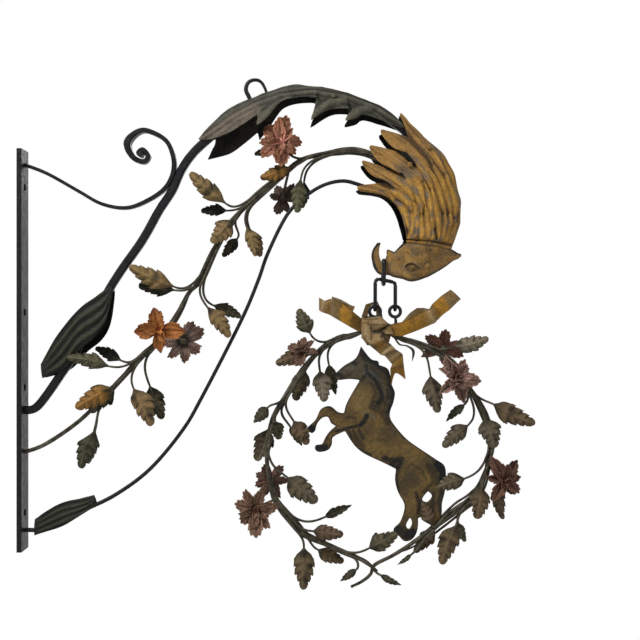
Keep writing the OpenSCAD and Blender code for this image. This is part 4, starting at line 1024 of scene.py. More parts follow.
# a leaf of each cut is beaten and copied: x runs along it, y across, z out of its face,
# all in shares of its length
leafForm = {"across": 14, "rise": 0.024, "crease": 0.014, "curl": 0.36, "arch": 0.07, "thickness": 0.028,
            "twig": 2.2}
leafCuts = {
    "long": {
        "edge": [[0, 0, 0.02], [0.06, 0.08, 0.05], [0.14, 0.18, 0.12], [0.22, 0.29, 0.19],
                 [0.29, 0.39, 0.235], [0.34, 0.47, 0.235], [0.36, 0.46, 0.185], [0.43, 0.55, 0.2],
                 [0.51, 0.66, 0.2], [0.54, 0.66, 0.15], [0.62, 0.74, 0.16], [0.7, 0.82, 0.145],
                 [0.73, 0.82, 0.11], [0.82, 0.89, 0.11], [0.91, 0.95, 0.085], [0.97, 0.99, 0.055],
                 [1, 1, 0.02]],
        "veins": [0.28, 0.47, 0.66], "creases": [0.36, 0.54, 0.73]},
    "round": {
        "edge": [[0, 0, 0.03], [0.05, 0.06, 0.08], [0.12, 0.14, 0.17], [0.2, 0.25, 0.245],
                 [0.28, 0.37, 0.28], [0.33, 0.46, 0.27], [0.35, 0.44, 0.22], [0.43, 0.54, 0.235],
                 [0.51, 0.66, 0.225], [0.53, 0.64, 0.17], [0.61, 0.73, 0.18], [0.69, 0.82, 0.16],
                 [0.71, 0.8, 0.12], [0.8, 0.88, 0.125], [0.9, 0.94, 0.1], [0.96, 0.98, 0.065],
                 [1, 1, 0.02]],
        "veins": [0.27, 0.46, 0.65], "creases": [0.35, 0.53, 0.71]},
    "toothed": {
        "edge": [[0, 0, 0.02], [0.05, 0.08, 0.11], [0.12, 0.2, 0.18], [0.2, 0.33, 0.215],
                 [0.25, 0.41, 0.215], [0.27, 0.42, 0.175], [0.36, 0.52, 0.19], [0.43, 0.61, 0.18],
                 [0.45, 0.62, 0.14], [0.55, 0.71, 0.15], [0.62, 0.79, 0.125], [0.64, 0.8, 0.085],
                 [0.78, 0.88, 0.065], [0.9, 0.95, 0.035], [1, 1, 0.008]],
        "veins": [0.2, 0.4, 0.58], "creases": [0.27, 0.45, 0.64]}}


def leafBlade(cut):
    def marksAt(rib, t, w):                          # ridge, crease and rim
        side = abs(t)
        tongue = hump(t * w, 0.03) * ease(1.02 - rib, 0, 0.15)
        vein = max(hump(rib - c, 0.035) for c in leafCuts[cut]["veins"])
        vein *= ease(side, 0.1, 0.35) * (1 - 0.5 * side)
        crease = max(hump(rib - c, 0.03) for c in leafCuts[cut]["creases"]) * ease(side, 0.15, 0.7)
        return max(tongue, vein), crease, ease(side, 0.75, 1)

    def liftAt(rib, t, w):
        ridge, crease, rim = marksAt(rib, t, w)
        return leafForm["rise"] * ridge - leafForm["crease"] * crease - leafForm["curl"] * w * t * t

    return cutBlade(cut + "Leaf", leafCuts[cut]["edge"], leafForm["across"], liftAt, marksAt,
                    leafForm["thickness"], [leafPaint, leafBack])


leafMasters = {cut: leafBlade(cut) for cut in leafCuts}

leafTones = {                                        # [body, edge]
    "ochre": [(110, 90, 59), (52, 47, 33)], "gold": [(120, 88, 43), (58, 48, 28)],
    "tan": [(110, 90, 61), (54, 48, 35)], "olive": [(76, 72, 55), (40, 40, 30)],
    "grey": [(82, 73, 58), (42, 38, 30)], "pale": [(106, 97, 82), (56, 51, 41)],
    "brown": [(86, 72, 53), (44, 38, 28)], "green": [(60, 58, 44), (33, 32, 24)],
    "black": [(38, 38, 30), (22, 22, 18)], "russet": [(82, 68, 54), (43, 35, 27)]}


# a twig lies along its stem for a while, bends off and runs into the leaf
def twigPath(foot, base, along, span, depth, carrier, swell, spread):
    last = 240                                       # places tried along the stem
    marks = [runAt(carrier, k / last) for k in range(last + 1)]
    near = min(range(last + 1), key=lambda k: (marks[k] - foot).length)
    ahead, behind = marks[min(last, near + 6)], marks[max(0, near - 6)]
    step = 6 if (ahead - foot).dot(base - foot) < (behind - foot).dot(base - foot) else -6
    way = marks[near] - marks[min(last, max(0, near + step))]
    way = way.normalized() if way.length > 0 else (base - foot).normalized()
    aside = base - foot - way * way.dot(base - foot)
    hug = Vector((0, math.copysign(swell, depth), 0)) + aside.normalized() * spread
    far, on, start = [marks[min(last, max(0, near + step * k))] + hug * h
                      for k, h in ((6, 0.3), (3, 0.8), (1, 1.1))]
    reach = (base - start).length
    b, c = start + way * reach * 0.5, base - along * reach * 0.35
    bend = [start * (1 - t) ** 3 + b * 3 * t * (1 - t) ** 2 + c * 3 * t * t * (1 - t) + base * t ** 3
            for t in (0, 0.2, 0.4, 0.6, 0.8, 1)]
    return [far, on] + bend + [base + along * span * 0.2]


def makeLeaf(spec, cut, tone, carrier, swell, seed, inside):
    lot = random.Random(seed)
    foot, base, tip = spot(spec[0]), spot(spec[1], spec[3]), spot(spec[2], spec[4])
    along = tip - base
    span = along.length
    along.normalize()
    outward = Vector((0, -1 if spec[3] < 0 else 1, 0))
    across = along.cross(outward).normalized()
    lift = across.cross(along)
    breadth = spec[5] if len(spec) > 5 else 1
    sides = [breadth * lot.uniform(0.92, 1.06), breadth * lot.uniform(0.92, 1.06)]
    twist, sway, droop = lot.uniform(-0.4, 0.4), lot.uniform(-0.05, 0.05), lot.uniform(-0.06, 0.08)
    leaf = copyOf(leafMasters[cut])
    leaf.data.materials[1] = inside
    body, edge = [tint(*c) for c in leafTones[tone]]
    # a lighter body colour, laid along the ridges as painted highlight
    light = tuple(c * lot.uniform(1.6, 2) for c in body)
    layer = leaf.data.color_attributes["paint"].data
    for v in leaf.data.vertices:
        x, y, z = v.co
        ripple = 0.02 * math.sin(14 * x + seed) * (y / 0.25) ** 2
        y = y * sides[y < 0] * (1 + 0.16 * uneven(x * 4, seed, y < 0)
                                 + 0.06 * uneven(x * 17, seed, y < 0))
        y += sway * math.sin(math.pi * min(1, x))
        turn = twist * (x - 0.3)
        y, z = y * math.cos(turn) - z * math.sin(turn), y * math.sin(turn) + z * math.cos(turn)
        z += leafForm["arch"] * math.sin(math.pi * min(1, x)) - droop * x * x + ripple
        ridge, crease, rim = layer[v.index].color[:3]
        patch = patchy(x * 3.5, y * 6, seed)
        streak = patchy(x * 8, y * 26, seed)
        coat = blended(body, light, min(1, ridge * (0.15 + 0.85 * streak)))
        # painted shade in the creases, with darker rims, base and patches
        dark = 0.55 * crease + 0.8 * rim * streak
        dark += 0.75 * ease(0.32 - x, 0, 0.3) + 0.8 * ease(0.44 - patch, 0, 0.2)
        coat = blended(coat, edge, min(1, dark))
        layer[v.index].color = (*coat, 1)
        v.co = base + (along * x + across * y + lift * z) * span
    path = twigPath(foot, base, along, span, spec[3], carrier, swell, lot.uniform(1, 5) * milli)
    r = leafForm["twig"] * milli
    twig = barAlong("twig", path, [r * 0.6, r, r, r, r * 0.9, r * 0.85, r * 0.5], roundSection[::2], 4)
    coatWith(twig, 60, stemPaint)
    return [leaf, twig]


garlandLeaves = [
    [[[23.4, 15.1], [20.6, 14.6], [17.1, 17.6], -10, -14, 0.85],
     [[23.2, 15], [20.7, 14], [18, 14], 10, 16]],
    [[[22.4, 14.2], [21.1, 12.9], [19.2, 10.7], -11, -14, 1.25],
     [[20.9, 12.4], [21.7, 11.2], [20.2, 9.4], 9, 15]],
    [[[22.7, 14.5], [22.7, 12.3], [23.7, 9.3], -12, -16], [[22.5, 14.3], [22.9, 12.2], [24, 9.4], 12, 16]],
    [[[28, 18.9], [27.1, 18.2], [24.1, 17], -10, -16], [[27.7, 18.7], [25.6, 20.1], [23.4, 19.7], 10, 14]],
    [[[31, 19.7], [28.1, 17], [27.7, 13.6], -14, -16], [[30.6, 19.7], [28.4, 17], [28.2, 14.3], 14, 16]],
    [[[17.8, 6.7], [15.5, 6.3], [11.1, 8.3], -10, -16, 0.9], [[17.2, 6.1], [15.4, 6], [11.7, 6.5], 10, 16]],
    [[[17.6, 6.5], [18.8, 4.3], [21.1, 1.3], -11, -16], [[17.9, 6.8], [19.2, 4.5], [22, 3.3], 11, 16]],
    [[[12, -0.9], [9.1, -1.6], [5, -0.7], -13, -16, 0.85], [[12.3, -0.6], [10, -1.1], [7.4, 0.2], 12, 15]],
    [[[10.8, -2.1], [9.2, -3.7], [5.8, -5.7], -12, -17], [[10.4, -2.5], [9.3, -3.8], [6.8, -6.3], 11, 16]],
    [[[11.2, -1.7], [11.5, -3.9], [13.3, -7.5], -9, -15], [[12.8, -0.2], [12.9, -3.7], [14.1, -7], 10, 15]],
    [[[7.5, -5.5], [7.5, -8.1], [6.3, -11.7], -9, -14], [[7.2, -5.8], [7.4, -8.1], [6.5, -11.5], 9, 14]]]
garlandTones = [("ochre", "black"), ("tan", "green"), ("ochre", "tan"), ("gold", "olive"),
                ("olive", "green"), ("ochre", "green"), ("ochre", "olive"), ("olive", "black"),
                ("gold", "green"), ("tan", "olive"), ("green", "olive")]
garlandRound = (1, 8, 9)                             # the blunt ones
for i, (pair, tones) in enumerate(zip(garlandLeaves, garlandTones)):
    made = []
    cut = "round" if i in garlandRound else "long"
    for k in range(2):
        seed = 2 * i + k
        made += makeLeaf(pair[k], cut, tones[k], stemPoints, garlandStem["hug"] * milli, seed, leafBack)
    piece = joinUp(made, "garlandLeaf%d" % (i + 1))
    fit(piece, "bracket", "ochre_leaf_paint", "garland_leaf_%d" % (i + 1))
print("garland leaves hung")

wreathLeaves = {                                     # leaves of each group, then their tones
    "left_upper": ([
        [[30.6, 0.4], [29, 1.7], [27.9, 4.1], -6, -10, 1.2],
        [[29.2, -0.9], [28.8, -0.5], [25.6, -1.3], -7, -12],
        [[28.7, -1.3], [28.5, -2.1], [27.5, -5.1], 9, 14, 1.1],
        [[30, 0], [30, -2.1], [30.4, -5.1], -12, -16, 1.2],
        [[30.9, 0.5], [30.9, -1.5], [31.6, -4.5], 1.5, 1.5]], ["olive", "brown", "grey", "pale", "green"]),
    "left_side": ([
        [[25.8, -5.9], [24.8, -5.7], [23.4, -7.2], -9, -12, 1.5],
        [[25.3, -6.8], [25.5, -7.2], [25.9, -9], 9, 11, 1.6],
        [[25.1, -7.2], [24.8, -8], [23.6, -11.2], 9, 14, 1.15],
        [[26.1, -5.3], [27.4, -7.1], [28.8, -9.4], -7, -6, 1.25],
        [[25.5, -6.4], [27, -7.7], [28.2, -9.7], 8, 10]], ["green", "olive", "grey", "brown", "green"]),
    "left_lower": ([
        [[24.7, -11.4], [26.8, -12.7], [29.7, -15.1], -8, -14, 1.15],
        [[27.2, -17.1], [30.5, -16.8], [33.2, -15.6], 8, 12, 0.8],
        [[27.9, -17.9], [29.3, -18], [32.3, -18.3], -9, -14],
        [[28.2, -18.1], [28.4, -19.7], [28.3, -23.8], -8, -14]],
        ["grey", "green", "russet", "brown"]),
    "left_end": ([
        [[28.8, -18.6], [29.8, -20.1], [32.4, -21.4], 9, 14],
        [[34, -20.9], [33.6, -21.8], [32, -22.9], -10, -14],
        [[32.1, -20.2], [34.9, -19.7], [37.7, -18.3], -8, -1.5, 1.15],
        [[35.5, -21.9], [36, -22.4], [38.1, -23.3], -6, -11, 0.75]],
        ["brown", "green", "olive", "green"]),
    "right_upper": ([
        [[41.5, -0.2], [43.4, 0.3], [46.7, 1.2], -9, -14, 0.9],
        [[40.1, 0.5], [41, -2.6], [41.7, -6.2], -8, -13],
        [[45.1, -4.1], [44.5, -5.5], [42.7, -7.2], 8, 13, 0.85]], ["pale", "grey", "green"]),
    "right_side": ([
        [[45.2, -4.4], [44.7, -7.5], [42.2, -9.6], -8, -12],
        [[45.8, -5.4], [46.4, -6.8], [47.3, -9.7], -10, -14, 1.35],
        [[45.7, -5.2], [47.3, -5.4], [51.3, -7.3], -8, -14, 0.85]], ["grey", "grey", "brown"]),
    "right_lower": ([
        [[46.9, -10.7], [44.4, -12.8], [41.4, -13.9], -6, -2, 1.05],
        [[46.4, -12.9], [46.1, -13.7], [45.5, -16.7], -9, -14, 1.2],
        [[46.6, -12.2], [47.9, -13.4], [48.4, -17], 8, 13, 0.7],
        [[44.3, -15.4], [43.5, -17.5], [42, -21.2], -8, -14]],
        ["grey", "brown", "russet", "brown"]),
    "right_end": ([
        [[44.5, -15.2], [43.9, -17.4], [44.6, -19.3], 8, 12],
        [[42.1, -17], [41.5, -18], [39.5, -20.4], 9, 14],
        [[40, -18.7], [39.1, -20.3], [37.7, -21.3], -9, -12, 0.75],
        [[41.9, -17.2], [41.1, -17.4], [40.2, -15.1], -8, -10]],
        ["olive", "brown", "green", "russet"])}
for g, (group, (specs, tones)) in enumerate(wreathLeaves.items()):
    side, where = group.split("_")
    carrier = spots(branches[side])
    made = []
    for k, spec in enumerate(specs):
        cut = "toothed" if tones[k] == "green" else "round"
        seed = 40 + 7 * g + k
        made += makeLeaf(spec, cut, tones[k], carrier, branches["hug"] * milli, seed, leafPaint)
    piece = joinUp(made, side + where.capitalize() + "Leaves")
    fit(piece, "wreath", "brown_leaf_paint", group + "_leaves")
for leaf in leafMasters.values():
    bpy.data.objects.remove(leaf)
print("wreath leaves hung")

# one petal of each cut is beaten and copied round every flower
petalForm = {"across": 12, "groove": 0.05, "tipLift": 0.08, "thickness": 0.035,
             "folds": {"ragged": 0.4, "broad": 0.35, "lance": 0.9}}
petalCuts = {
    "ragged": [[0, 0, 0.12], [0.2, 0.2, 0.17], [0.4, 0.42, 0.24], [0.55, 0.6, 0.28], [0.63, 0.75, 0.3],
               [0.68, 0.68, 0.23], [0.76, 0.8, 0.235], [0.84, 0.94, 0.2], [0.88, 0.85, 0.12],
               [0.94, 0.94, 0.09], [1, 1.05, 0.015]],
    "broad": [[0, 0, 0.12], [0.15, 0.15, 0.18], [0.35, 0.36, 0.29], [0.5, 0.57, 0.34], [0.55, 0.54, 0.29],
              [0.65, 0.68, 0.31], [0.72, 0.82, 0.27], [0.76, 0.77, 0.2], [0.86, 0.9, 0.15],
              [1, 1.05, 0.015]],
    "lance": [[0, 0, 0.08], [0.2, 0.22, 0.16], [0.4, 0.45, 0.24], [0.52, 0.62, 0.25], [0.57, 0.6, 0.19],
              [0.68, 0.75, 0.19], [0.76, 0.87, 0.14], [0.8, 0.84, 0.1], [0.9, 0.94, 0.055],
              [1, 1.04, 0.01]]}


def petalMarks(rib, t, w):                           # place along it, groove and rim
    groove = hump(t, 0.18) + 0.7 * hump(abs(t) - 0.62, 0.16)
    return rib, min(1, groove), max(ease(abs(t), 0.78, 1), ease(rib, 0.92, 1))


def petalBlade(kind, fold):                          # the fold raises both sides along the middle
    def liftAt(rib, t, w):
        groove = petalMarks(rib, t, w)[1] * math.sin(math.pi * min(1, rib * 0.9))
        return fold * w * abs(t) ** 1.3 - petalForm["groove"] * groove + petalForm["tipLift"] * rib * rib

    return cutBlade(kind + "Petal", petalCuts[kind], petalForm["across"], liftAt, petalMarks,
                    petalForm["thickness"], [petalPaint])


petalMasters = {kind: petalBlade(kind, fold) for kind, fold in petalForm["folds"].items()}

# sizes in shares of the flower's radius, except the step between its rings in millimetres
flowerForm = {"boss": 0.15, "bossRise": 0.08, "flat": 0.75, "throat": 0.3, "cup": [0.2, 0.22],
              "ringStep": 1.2}

# [foot, centre, depth, radius, facing, tallness], rings of [cut, count, length, lift, turn],
# then the colours of heart, body and tip, and the edge light
garlandFlowers = [
    ([[26.5, 17.8], [26.1, 20.6], -16, 39, [0.1, -1, 0.25], 0.45],
     [["ragged", 7, 1.06, 2, 0.1], ["lance", 7, 0.8, 20, 0.5], ["ragged", 4, 0.4, 40, 0.1]],
     [(186, 130, 114), (150, 105, 86), (114, 75, 51)], 0.15),
    ([[26.9, 18], [26.2, 15.3], 16, 25, [-0.1, 1, -0.2], 0.3],
     [["ragged", 6, 1.1, 8, 0], ["lance", 5, 0.7, 32, 0.3]], [(60, 44, 38), (72, 58, 50), (52, 43, 37)],
     0.2),
    ([[14.5, 1.8], [14.1, 2], -20, 37, [-0.1, -1, 0.1], 0],
     [["broad", 4, 1.16, 4, 1.55], ["ragged", 4, 0.7, 30, 0.9], ["broad", 2, 0.5, 50, 0.4]],
     [(112, 52, 28), (166, 107, 52), (120, 70, 44)], -0.7),
    ([[15, 2.4], [16.2, 0.8], 18, 31, [0.1, 1, -0.1], -0.2],
     [["ragged", 7, 1.16, 2, 0.4], ["lance", 6, 0.9, 18, 0]],
     [(30, 22, 20), (142, 121, 112), (116, 84, 66)], 0.3)]
wreathFlowers = [
    ([[29.8, -0.2], [28.3, -0.1], -25, 24, [-0.4, -1, 0.5], 0.15],
     [["ragged", 6, 1.16, 8, 0.3], ["lance", 5, 0.7, 36, 0]], [(78, 55, 44), (100, 80, 66), (80, 55, 46)],
     0.3),
    ([[24.9, -12.8], [25, -13.2], 18, 29, [-0.1, 1, 0], 0],
     [["ragged", 7, 1.1, 4, 0], ["lance", 6, 0.75, 26, 0.4]], [(74, 52, 42), (100, 78, 66), (78, 56, 46)],
     0.3),
    ([[25.6, -14.9], [23.6, -15.8], -12, 35, [-0.1, -1, -0.1], 0],
     [["ragged", 7, 1.1, 4, 0.2], ["ragged", 5, 0.76, 26, 0], ["lance", 4, 0.45, 50, 0.5]],
     [(82, 52, 41), (112, 86, 71), (88, 68, 54)], 0.35),
    ([[42, -0.5], [42.5, 0.1], 17, 30, [0, 1, 0.2], 0],
     [["ragged", 6, 1.25, 2, 0.5], ["broad", 5, 0.85, 24, 0]], [(90, 58, 48), (120, 84, 71), (100, 68, 57)],
     0.35),
    ([[43.9, -1.9], [43.5, -2.7], -20, 30, [0.1, -1, 0], 0],
     [["lance", 6, 1.32, 2, 0.2], ["ragged", 6, 0.95, 24, 0], ["lance", 4, 0.55, 50, 0.6]],
     [(108, 60, 47), (138, 111, 99), (120, 95, 84)], 0.5),
    ([[46.8, -11.5], [48.3, -12.8], -16, 31, [0.2, -1, 0], 0.45],
     [["lance", 6, 1.18, 4, 0], ["ragged", 5, 0.85, 26, 0.3], ["lance", 4, 0.45, 50, 0]],
     [(78, 50, 42), (98, 72, 60), (82, 58, 48)], 0.35)]


def makeFlower(name, flower, seed):
    spec, rings, colours, edgeLight = flower
    lot = random.Random(seed)
    heart, body, tipTone = [tint(*c) for c in colours]
    foot, middle = spot(spec[0]), spot(spec[1], spec[2])
    facing = Vector(spec[4]).normalized()
    r = spec[3] * milli
    across = facing.cross(Vector((0, 0, 1))).normalized()
    upward = across.cross(facing)
    made = []
    for ring, (kind, count, length, lift, start) in enumerate(rings):
        for k in range(count):
            angle = start + 2 * math.pi * (k + lot.uniform(-0.22, 0.22)) / count
            rise = math.radians(lift + lot.uniform(-10, 14))
            taller = 1 + spec[5] * (math.sin(angle) ** 2 - 0.5)
            reach = r * length * lot.uniform(0.76, 1.08) * taller
            out = across * math.cos(angle) + upward * math.sin(angle)
            beside = facing.cross(out)
            roll, bow = lot.uniform(-0.9, 0.9), lot.uniform(-0.2, 0.35)
            tone, wear = lot.uniform(0.6, 1.4), lot.uniform(0, 0.6)
            petal = copyOf(petalMasters[kind])
            layer = petal.data.color_attributes["paint"].data
            step = flowerForm["ringStep"] * milli * ring
            for v in petal.data.vertices:
                x, y, z = v.co
                c, s = math.cos(roll * x), math.sin(roll * x)
                y, z = y * c - z * s, z * c + y * s - bow * x * x
                s, crease, rim = layer[v.index].color[:3]
                fleck = patchy(x * 4 + k, y * 12, seed + ring)
                coat = blended(heart, body, ease(s, 0.15, 0.5))
                coat = blended(coat, tipTone, min(1, ease(s, 0.6 - wear, 1) * (0.3 + fleck)))
                # painted shade in each petal's groove; along the rims a painted highlight where edgeLight is
                # above 0 and painted shade where it is below, over random tone
                shade = tone * (1.15 - 0.75 * crease * (1 - 0.5 * s))
                shade *= (1 + edgeLight * rim * fleck) * (0.75 + 0.5 * fleck)
                layer[v.index].color = (*[c * shade for c in coat], 1)
                v.co = (middle + (out * (x * math.cos(rise) - z * math.sin(rise)) + beside * y) * reach
                        + facing * ((x * math.sin(rise) + z * math.cos(rise)) * reach + step))
            made.append(petal)
    boss = fresh(bpy.ops.mesh.primitive_uv_sphere_add, segments=20, ring_count=12,
                 radius=flowerForm["boss"] * r)
    for v in boss.data.vertices:                     # the seed head is flattened and pitted
        p = v.co * (1 + 0.2 * noise.noise(v.co * 2 / r + Vector((seed, 0, 0))))
        v.co = (middle + across * p.x + upward * p.y
                + facing * (p.z * flowerForm["flat"] + flowerForm["bossRise"] * r))
    closeSeams(boss)
    brush(boss, lambda v: heart)
    coatWith(boss, 60, petalPaint)
    throat, under = middle - facing * flowerForm["throat"] * r, middle - facing * flowerForm["bossRise"] * r
    stalk = leafForm["twig"] * milli
    cup = [c * r for c in flowerForm["cup"]]
    stem = barAlong("stalk", [foot, mixed(foot, throat, 0.6), throat, under, middle],
                    [stalk, stalk, stalk * 1.1] + cup, roundSection, 5)
    coatWith(stem, 60, stemPaint)
    return joinUp(made + [boss, stem], name)


for i, flower in enumerate(garlandFlowers):
    piece = makeFlower("garlandFlower%d" % (i + 1), flower, 100 + i)
    fit(piece, "bracket", "rose_paint", "garland_flower_%d" % (i + 1))
for i, flower in enumerate(wreathFlowers):
    piece = makeFlower("wreathFlower%d" % (i + 1), flower, 120 + i)
    fit(piece, "wreath", "rust_paint", "wreath_flower_%d" % (i + 1))
for petal in petalMasters.values():
    bpy.data.objects.remove(petal)
print("flowers opened")

tendril = {"line": [[37.4, 1.4, 0], [37.9, 0.6, -4], [38.7, 0.4, -5], [39.3, -0.1, -5], [39.2, -1.1, -4]],
           "half": [1.8, 1.6, 1.2, 1.9, 2.2, 0.4], "marks": [0.4, 8]}
bar = barAlong("bowTendril", spots(tendril["line"]), inMilli(tendril["half"]), roundSection, 8)
finishBar(bar, stemPaint, 60, "wreath", "olive_paint", "bow_tendril", tendril["marks"])


# a sawn plate with its corners worn round; it starts as a copy of the solid
def wornPlate(node, name, wear):
    plate = copyOf(frame["nodes"][node])
    plate.name = name
    plate.parent = None
    closeSeams(plate, sameSpot)
    plate.data.remesh_voxel_size = wear["grain"] * milli
    onlyThis(plate)
    bpy.ops.object.voxel_remesh()
    worn = plate.modifiers.new("worn", 'SMOOTH')
    worn.factor = 0.5
    worn.iterations = wear["rounds"]
    applyModifiers(plate)
    plate.data.materials.clear()
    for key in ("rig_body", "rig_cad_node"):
        if key in plate:
            del plate[key]
    return plate


# horse: the plate's edges worn round, then painted stroke by stroke
horse = {
    "grain": 1.25, "rounds": 3, "chest": (34, -4.8, 1.9),
    "brown": tint(68, 56, 36), "ochre": tint(96, 77, 42), "grey": tint(64, 58, 48),
    "ink": tint(13, 15, 19), "light": tint(92, 90, 84), "warm": tint(112, 92, 57),
    "lights": [                                      # [line, width, strength]
        [[(34.6, -2.3), (35.3, -2.3), (35.9, -3)], 0.4, 0.7], [[(36.2, -3.2), (36.5, -4.4)], 0.2, 0.6],
        [[(37, -3.8), (37.1, -4.6)], 0.18, 0.6], [[(32, -2.1), (33.2, -1.8)], 0.3, 0.35],
        [[(34.4, -6.2), (35.4, -6.8)], 0.4, 0.25]],
    "strokes": [
        [[(36.1, -2.2), (36.7, -3.4), (36.85, -4.8), (36.5, -6)], 0.34, 0.5],
        [[(35.2, -1.7), (35.9, -3.1), (36.3, -4.4), (35.8, -5.6)], 0.26, 0.55],
        [[(36.3, -1.8), (36.8, -2.3), (37, -2.9)], 0.34, 0.9],
        [[(35.2, -5.6), (36.2, -6.2), (36.8, -7.2)], 0.3, 0.55], [[(33.2, -8.6), (34.2, -9.8)], 0.3, 0.5],
        [[(40.9, -11.6), (41.7, -13.2)], 0.3, 0.6], [[(40.2, -15.6), (40.8, -14.2)], 0.2, 0.6],
        [[(41.3, -14.4), (41.2, -16.2)], 0.16, 0.6],
        [[(34.7, -0.5), (35.8, -1.5), (36.7, -2), (37.1, -3), (37.3, -4.3), (37.2, -5.2), (36.8, -6.2)],
         0.28, 0.9],
        [[(34.8, -2.3), (35.5, -3), (36, -4), (36.3, -4.8), (35.8, -5.3)], 0.18, 0.9],
        [[(36.6, -2.3), (36.9, -3.5), (36.8, -4.8)], 0.2, 0.8],
        [[(35.3, -5.2), (36.3, -5), (36.8, -5.7)], 0.12, 0.7],
        [[(34.1, 0.2), (34.4, -0.8), (35.3, -1.2)], 0.24, 0.75],
        [[(34.2, -3), (34.7, -2.3), (34.6, -1.5)], 0.16, 0.65],
        [[(31.4, -2.3), (32, -2.5), (32.2, -2.8)], 0.18, 0.8], [[(33.3, -1.25), (33.6, -1.4)], 0.1, 0.9],
        [[(33.1, -1), (33.8, -1.2)], 0.08, 0.5], [[(32.2, -2.7), (33, -2.5)], 0.07, 0.6],
        [[(31.6, -8.1), (32.8, -7.8), (34, -7.5)], 0.14, 0.85],
        [[(34, -7.5), (34.4, -7.1), (34.7, -6.6)], 0.2, 0.95], [[(32.9, -8.1), (33.2, -8.9)], 0.14, 0.8],
        [[(33.3, -8), (33.7, -9)], 0.12, 0.75], [[(33.8, -7.8), (34.3, -8.8)], 0.12, 0.65],
        [[(32.8, -8.8), (33.7, -9.8), (35, -10.5)], 0.15, 0.75],
        [[(36.5, -10.8), (37.3, -11.1), (38.1, -10.9)], 0.25, 0.85],
        [[(37, -11.5), (37.8, -11.8), (38, -11.2)], 0.22, 0.95],
        [[(37.8, -11.8), (37.6, -12.8), (37.8, -14.2)], 0.16, 0.75],
        [[(41.8, -11.4), (42.3, -12.2), (42.3, -13.2)], 0.42, 0.97],
        [[(41.3, -12.2), (41.2, -13.3), (40.3, -14.2)], 0.14, 0.55],
        [[(42.2, -14), (42, -15.3), (42.2, -16.5)], 0.24, 0.8],
        [[(39.6, -14.3), (39.9, -15.3), (39.8, -16.3)], 0.15, 0.75],
        [[(37.5, -17.8), (38, -18.1)], 0.4, 0.97], [[(38.5, -18.5), (39.3, -18.3)], 0.42, 0.97],
        [[(29, -7.7), (29.4, -8)], 0.32, 0.95], [[(29.7, -9.7), (30.5, -9.8)], 0.34, 0.95],
        [[(30.8, -6.8), (31.3, -7.4)], 0.12, 0.6], [[(31.5, -8.6), (31, -9.5)], 0.12, 0.6],
        [[(37.1, -7), (38.3, -8.7), (40, -9.8), (41.5, -11)], 0.1, 0.65],
        [[(32.7, -6.7), (33.5, -6.8)], 0.12, 0.5], [[(35.2, -3.4), (35.6, -4.4), (35.2, -5)], 0.1, 0.5],
        [[(39.2, -11.4), (40.2, -12), (40.6, -13)], 0.12, 0.35]],
    "runs": [
        [[34.1, 0.4], [33.6, -0.8], [32.5, -1.5], [31.8, -2.1], [31.4, -2.5], [31.7, -3], [32.9, -2.9],
         [34, -3]],
        [[34, -3], [33.1, -4.5], [32.6, -5.5], [32.4, -6.3], [31.8, -6.2], [31, -5.6], [30.1, -5.9],
         [29.6, -6.9]],
        [[29.5, -8.1], [29.7, -7.4], [30.2, -6.8], [30.8, -6.7], [31.1, -7.3], [31.6, -7.6], [31, -8.1],
         [30.5, -8.8]],
        [[30.8, -10], [31.2, -9.4], [31.3, -8.7], [32.5, -8.1], [32.8, -8.6], [33.5, -9.6], [34.5, -10.4]],
        [[34.5, -10.4], [36.2, -11.2], [37.6, -11.9], [37.5, -13], [37.8, -14.2], [38.4, -15.3],
         [38.4, -16.1]],
        [[39.6, -18.4], [39.8, -17.6], [39.8, -16.8], [40.4, -16.7], [40.9, -17.3], [41.2, -17.8],
         [42.1, -16.7]],
        [[42.2, -15.3], [42.5, -14.1], [42.6, -12.4], [42.4, -11.5], [41.7, -11], [40.2, -10],
         [38.9, -9.1]],
        [[38.9, -9.1], [38, -8.2], [37.1, -7], [37, -6.2], [37.3, -5.4], [37.5, -4.3], [37.2, -3.5],
         [37, -2.4]],
        [[36.7, -1.8], [35.9, -1.5], [35.8, -1.1], [35.1, -0.9], [34.3, 0.1]]]}
steps = 80
rim = kdtree.KDTree(len(horse["runs"]) * steps)
for k, run in enumerate(horse["runs"]):
    for j in range(steps):
        p = runAt([Vector(q) for q in run], j / (steps - 1))
        rim.insert((p.x, p.y, 0), k * steps + j)
rim.balance()
plate = wornPlate("horse_plate", "horsePlate", horse)


def horseCoat(v):
    x, z = v.co.x / square, v.co.z / square
    patch = patchy(x * 0.55, z * 0.55, 1 if v.co.y < 0 else 12)
    sweep = patchy(x * 1.1 + z * 0.9, (z - x) * 2.6, 6)
    daub = patchy(x * 3.5, z * 3.5, 4)
    coat = blended(horse["brown"], horse["ochre"], ease(patch * 0.75 + sweep * 0.25, 0.32, 0.7))
    face = 0.8 * ease(z, -4, -2) * ease(36.5 - x, 0, 2)
    coat = blended(coat, horse["grey"], face + 0.45 * ease(0.42 - sweep, 0, 0.2))
    x0, z0, reach = horse["chest"]
    coat = blended(coat, horse["warm"], 0.6 * (1 - ease(math.hypot(x - x0, z - z0), 0.3 * reach, reach)))
    for line, width, strength in horse["lights"]:
        near = 1 - ease(nearLine(x, z, line), 0, width * (0.6 + daub))
        coat = blended(coat, horse["light"], strength * near)
    inked = 0
    for line, width, strength in horse["strokes"]:
        soft = 1 - ease(nearLine(x, z, line), width * (0.3 + 0.6 * daub), width * (1.1 + 1.4 * daub))
        inked = max(inked, strength * soft * (0.85 + 0.4 * sweep))
    edge = rim.find((x, z, 0))[2]
    inked = max(inked, 0.7 * (1 - ease(edge, 0, 0.12 + 0.3 * daub)))
    return blended(coat, horse["ink"], min(1, inked))


brush(plate, horseCoat)
coatWith(plate, 60, horsePaint)
fit(plate, "wreath", "horse_paint", "horse_plate")
print("horse painted")
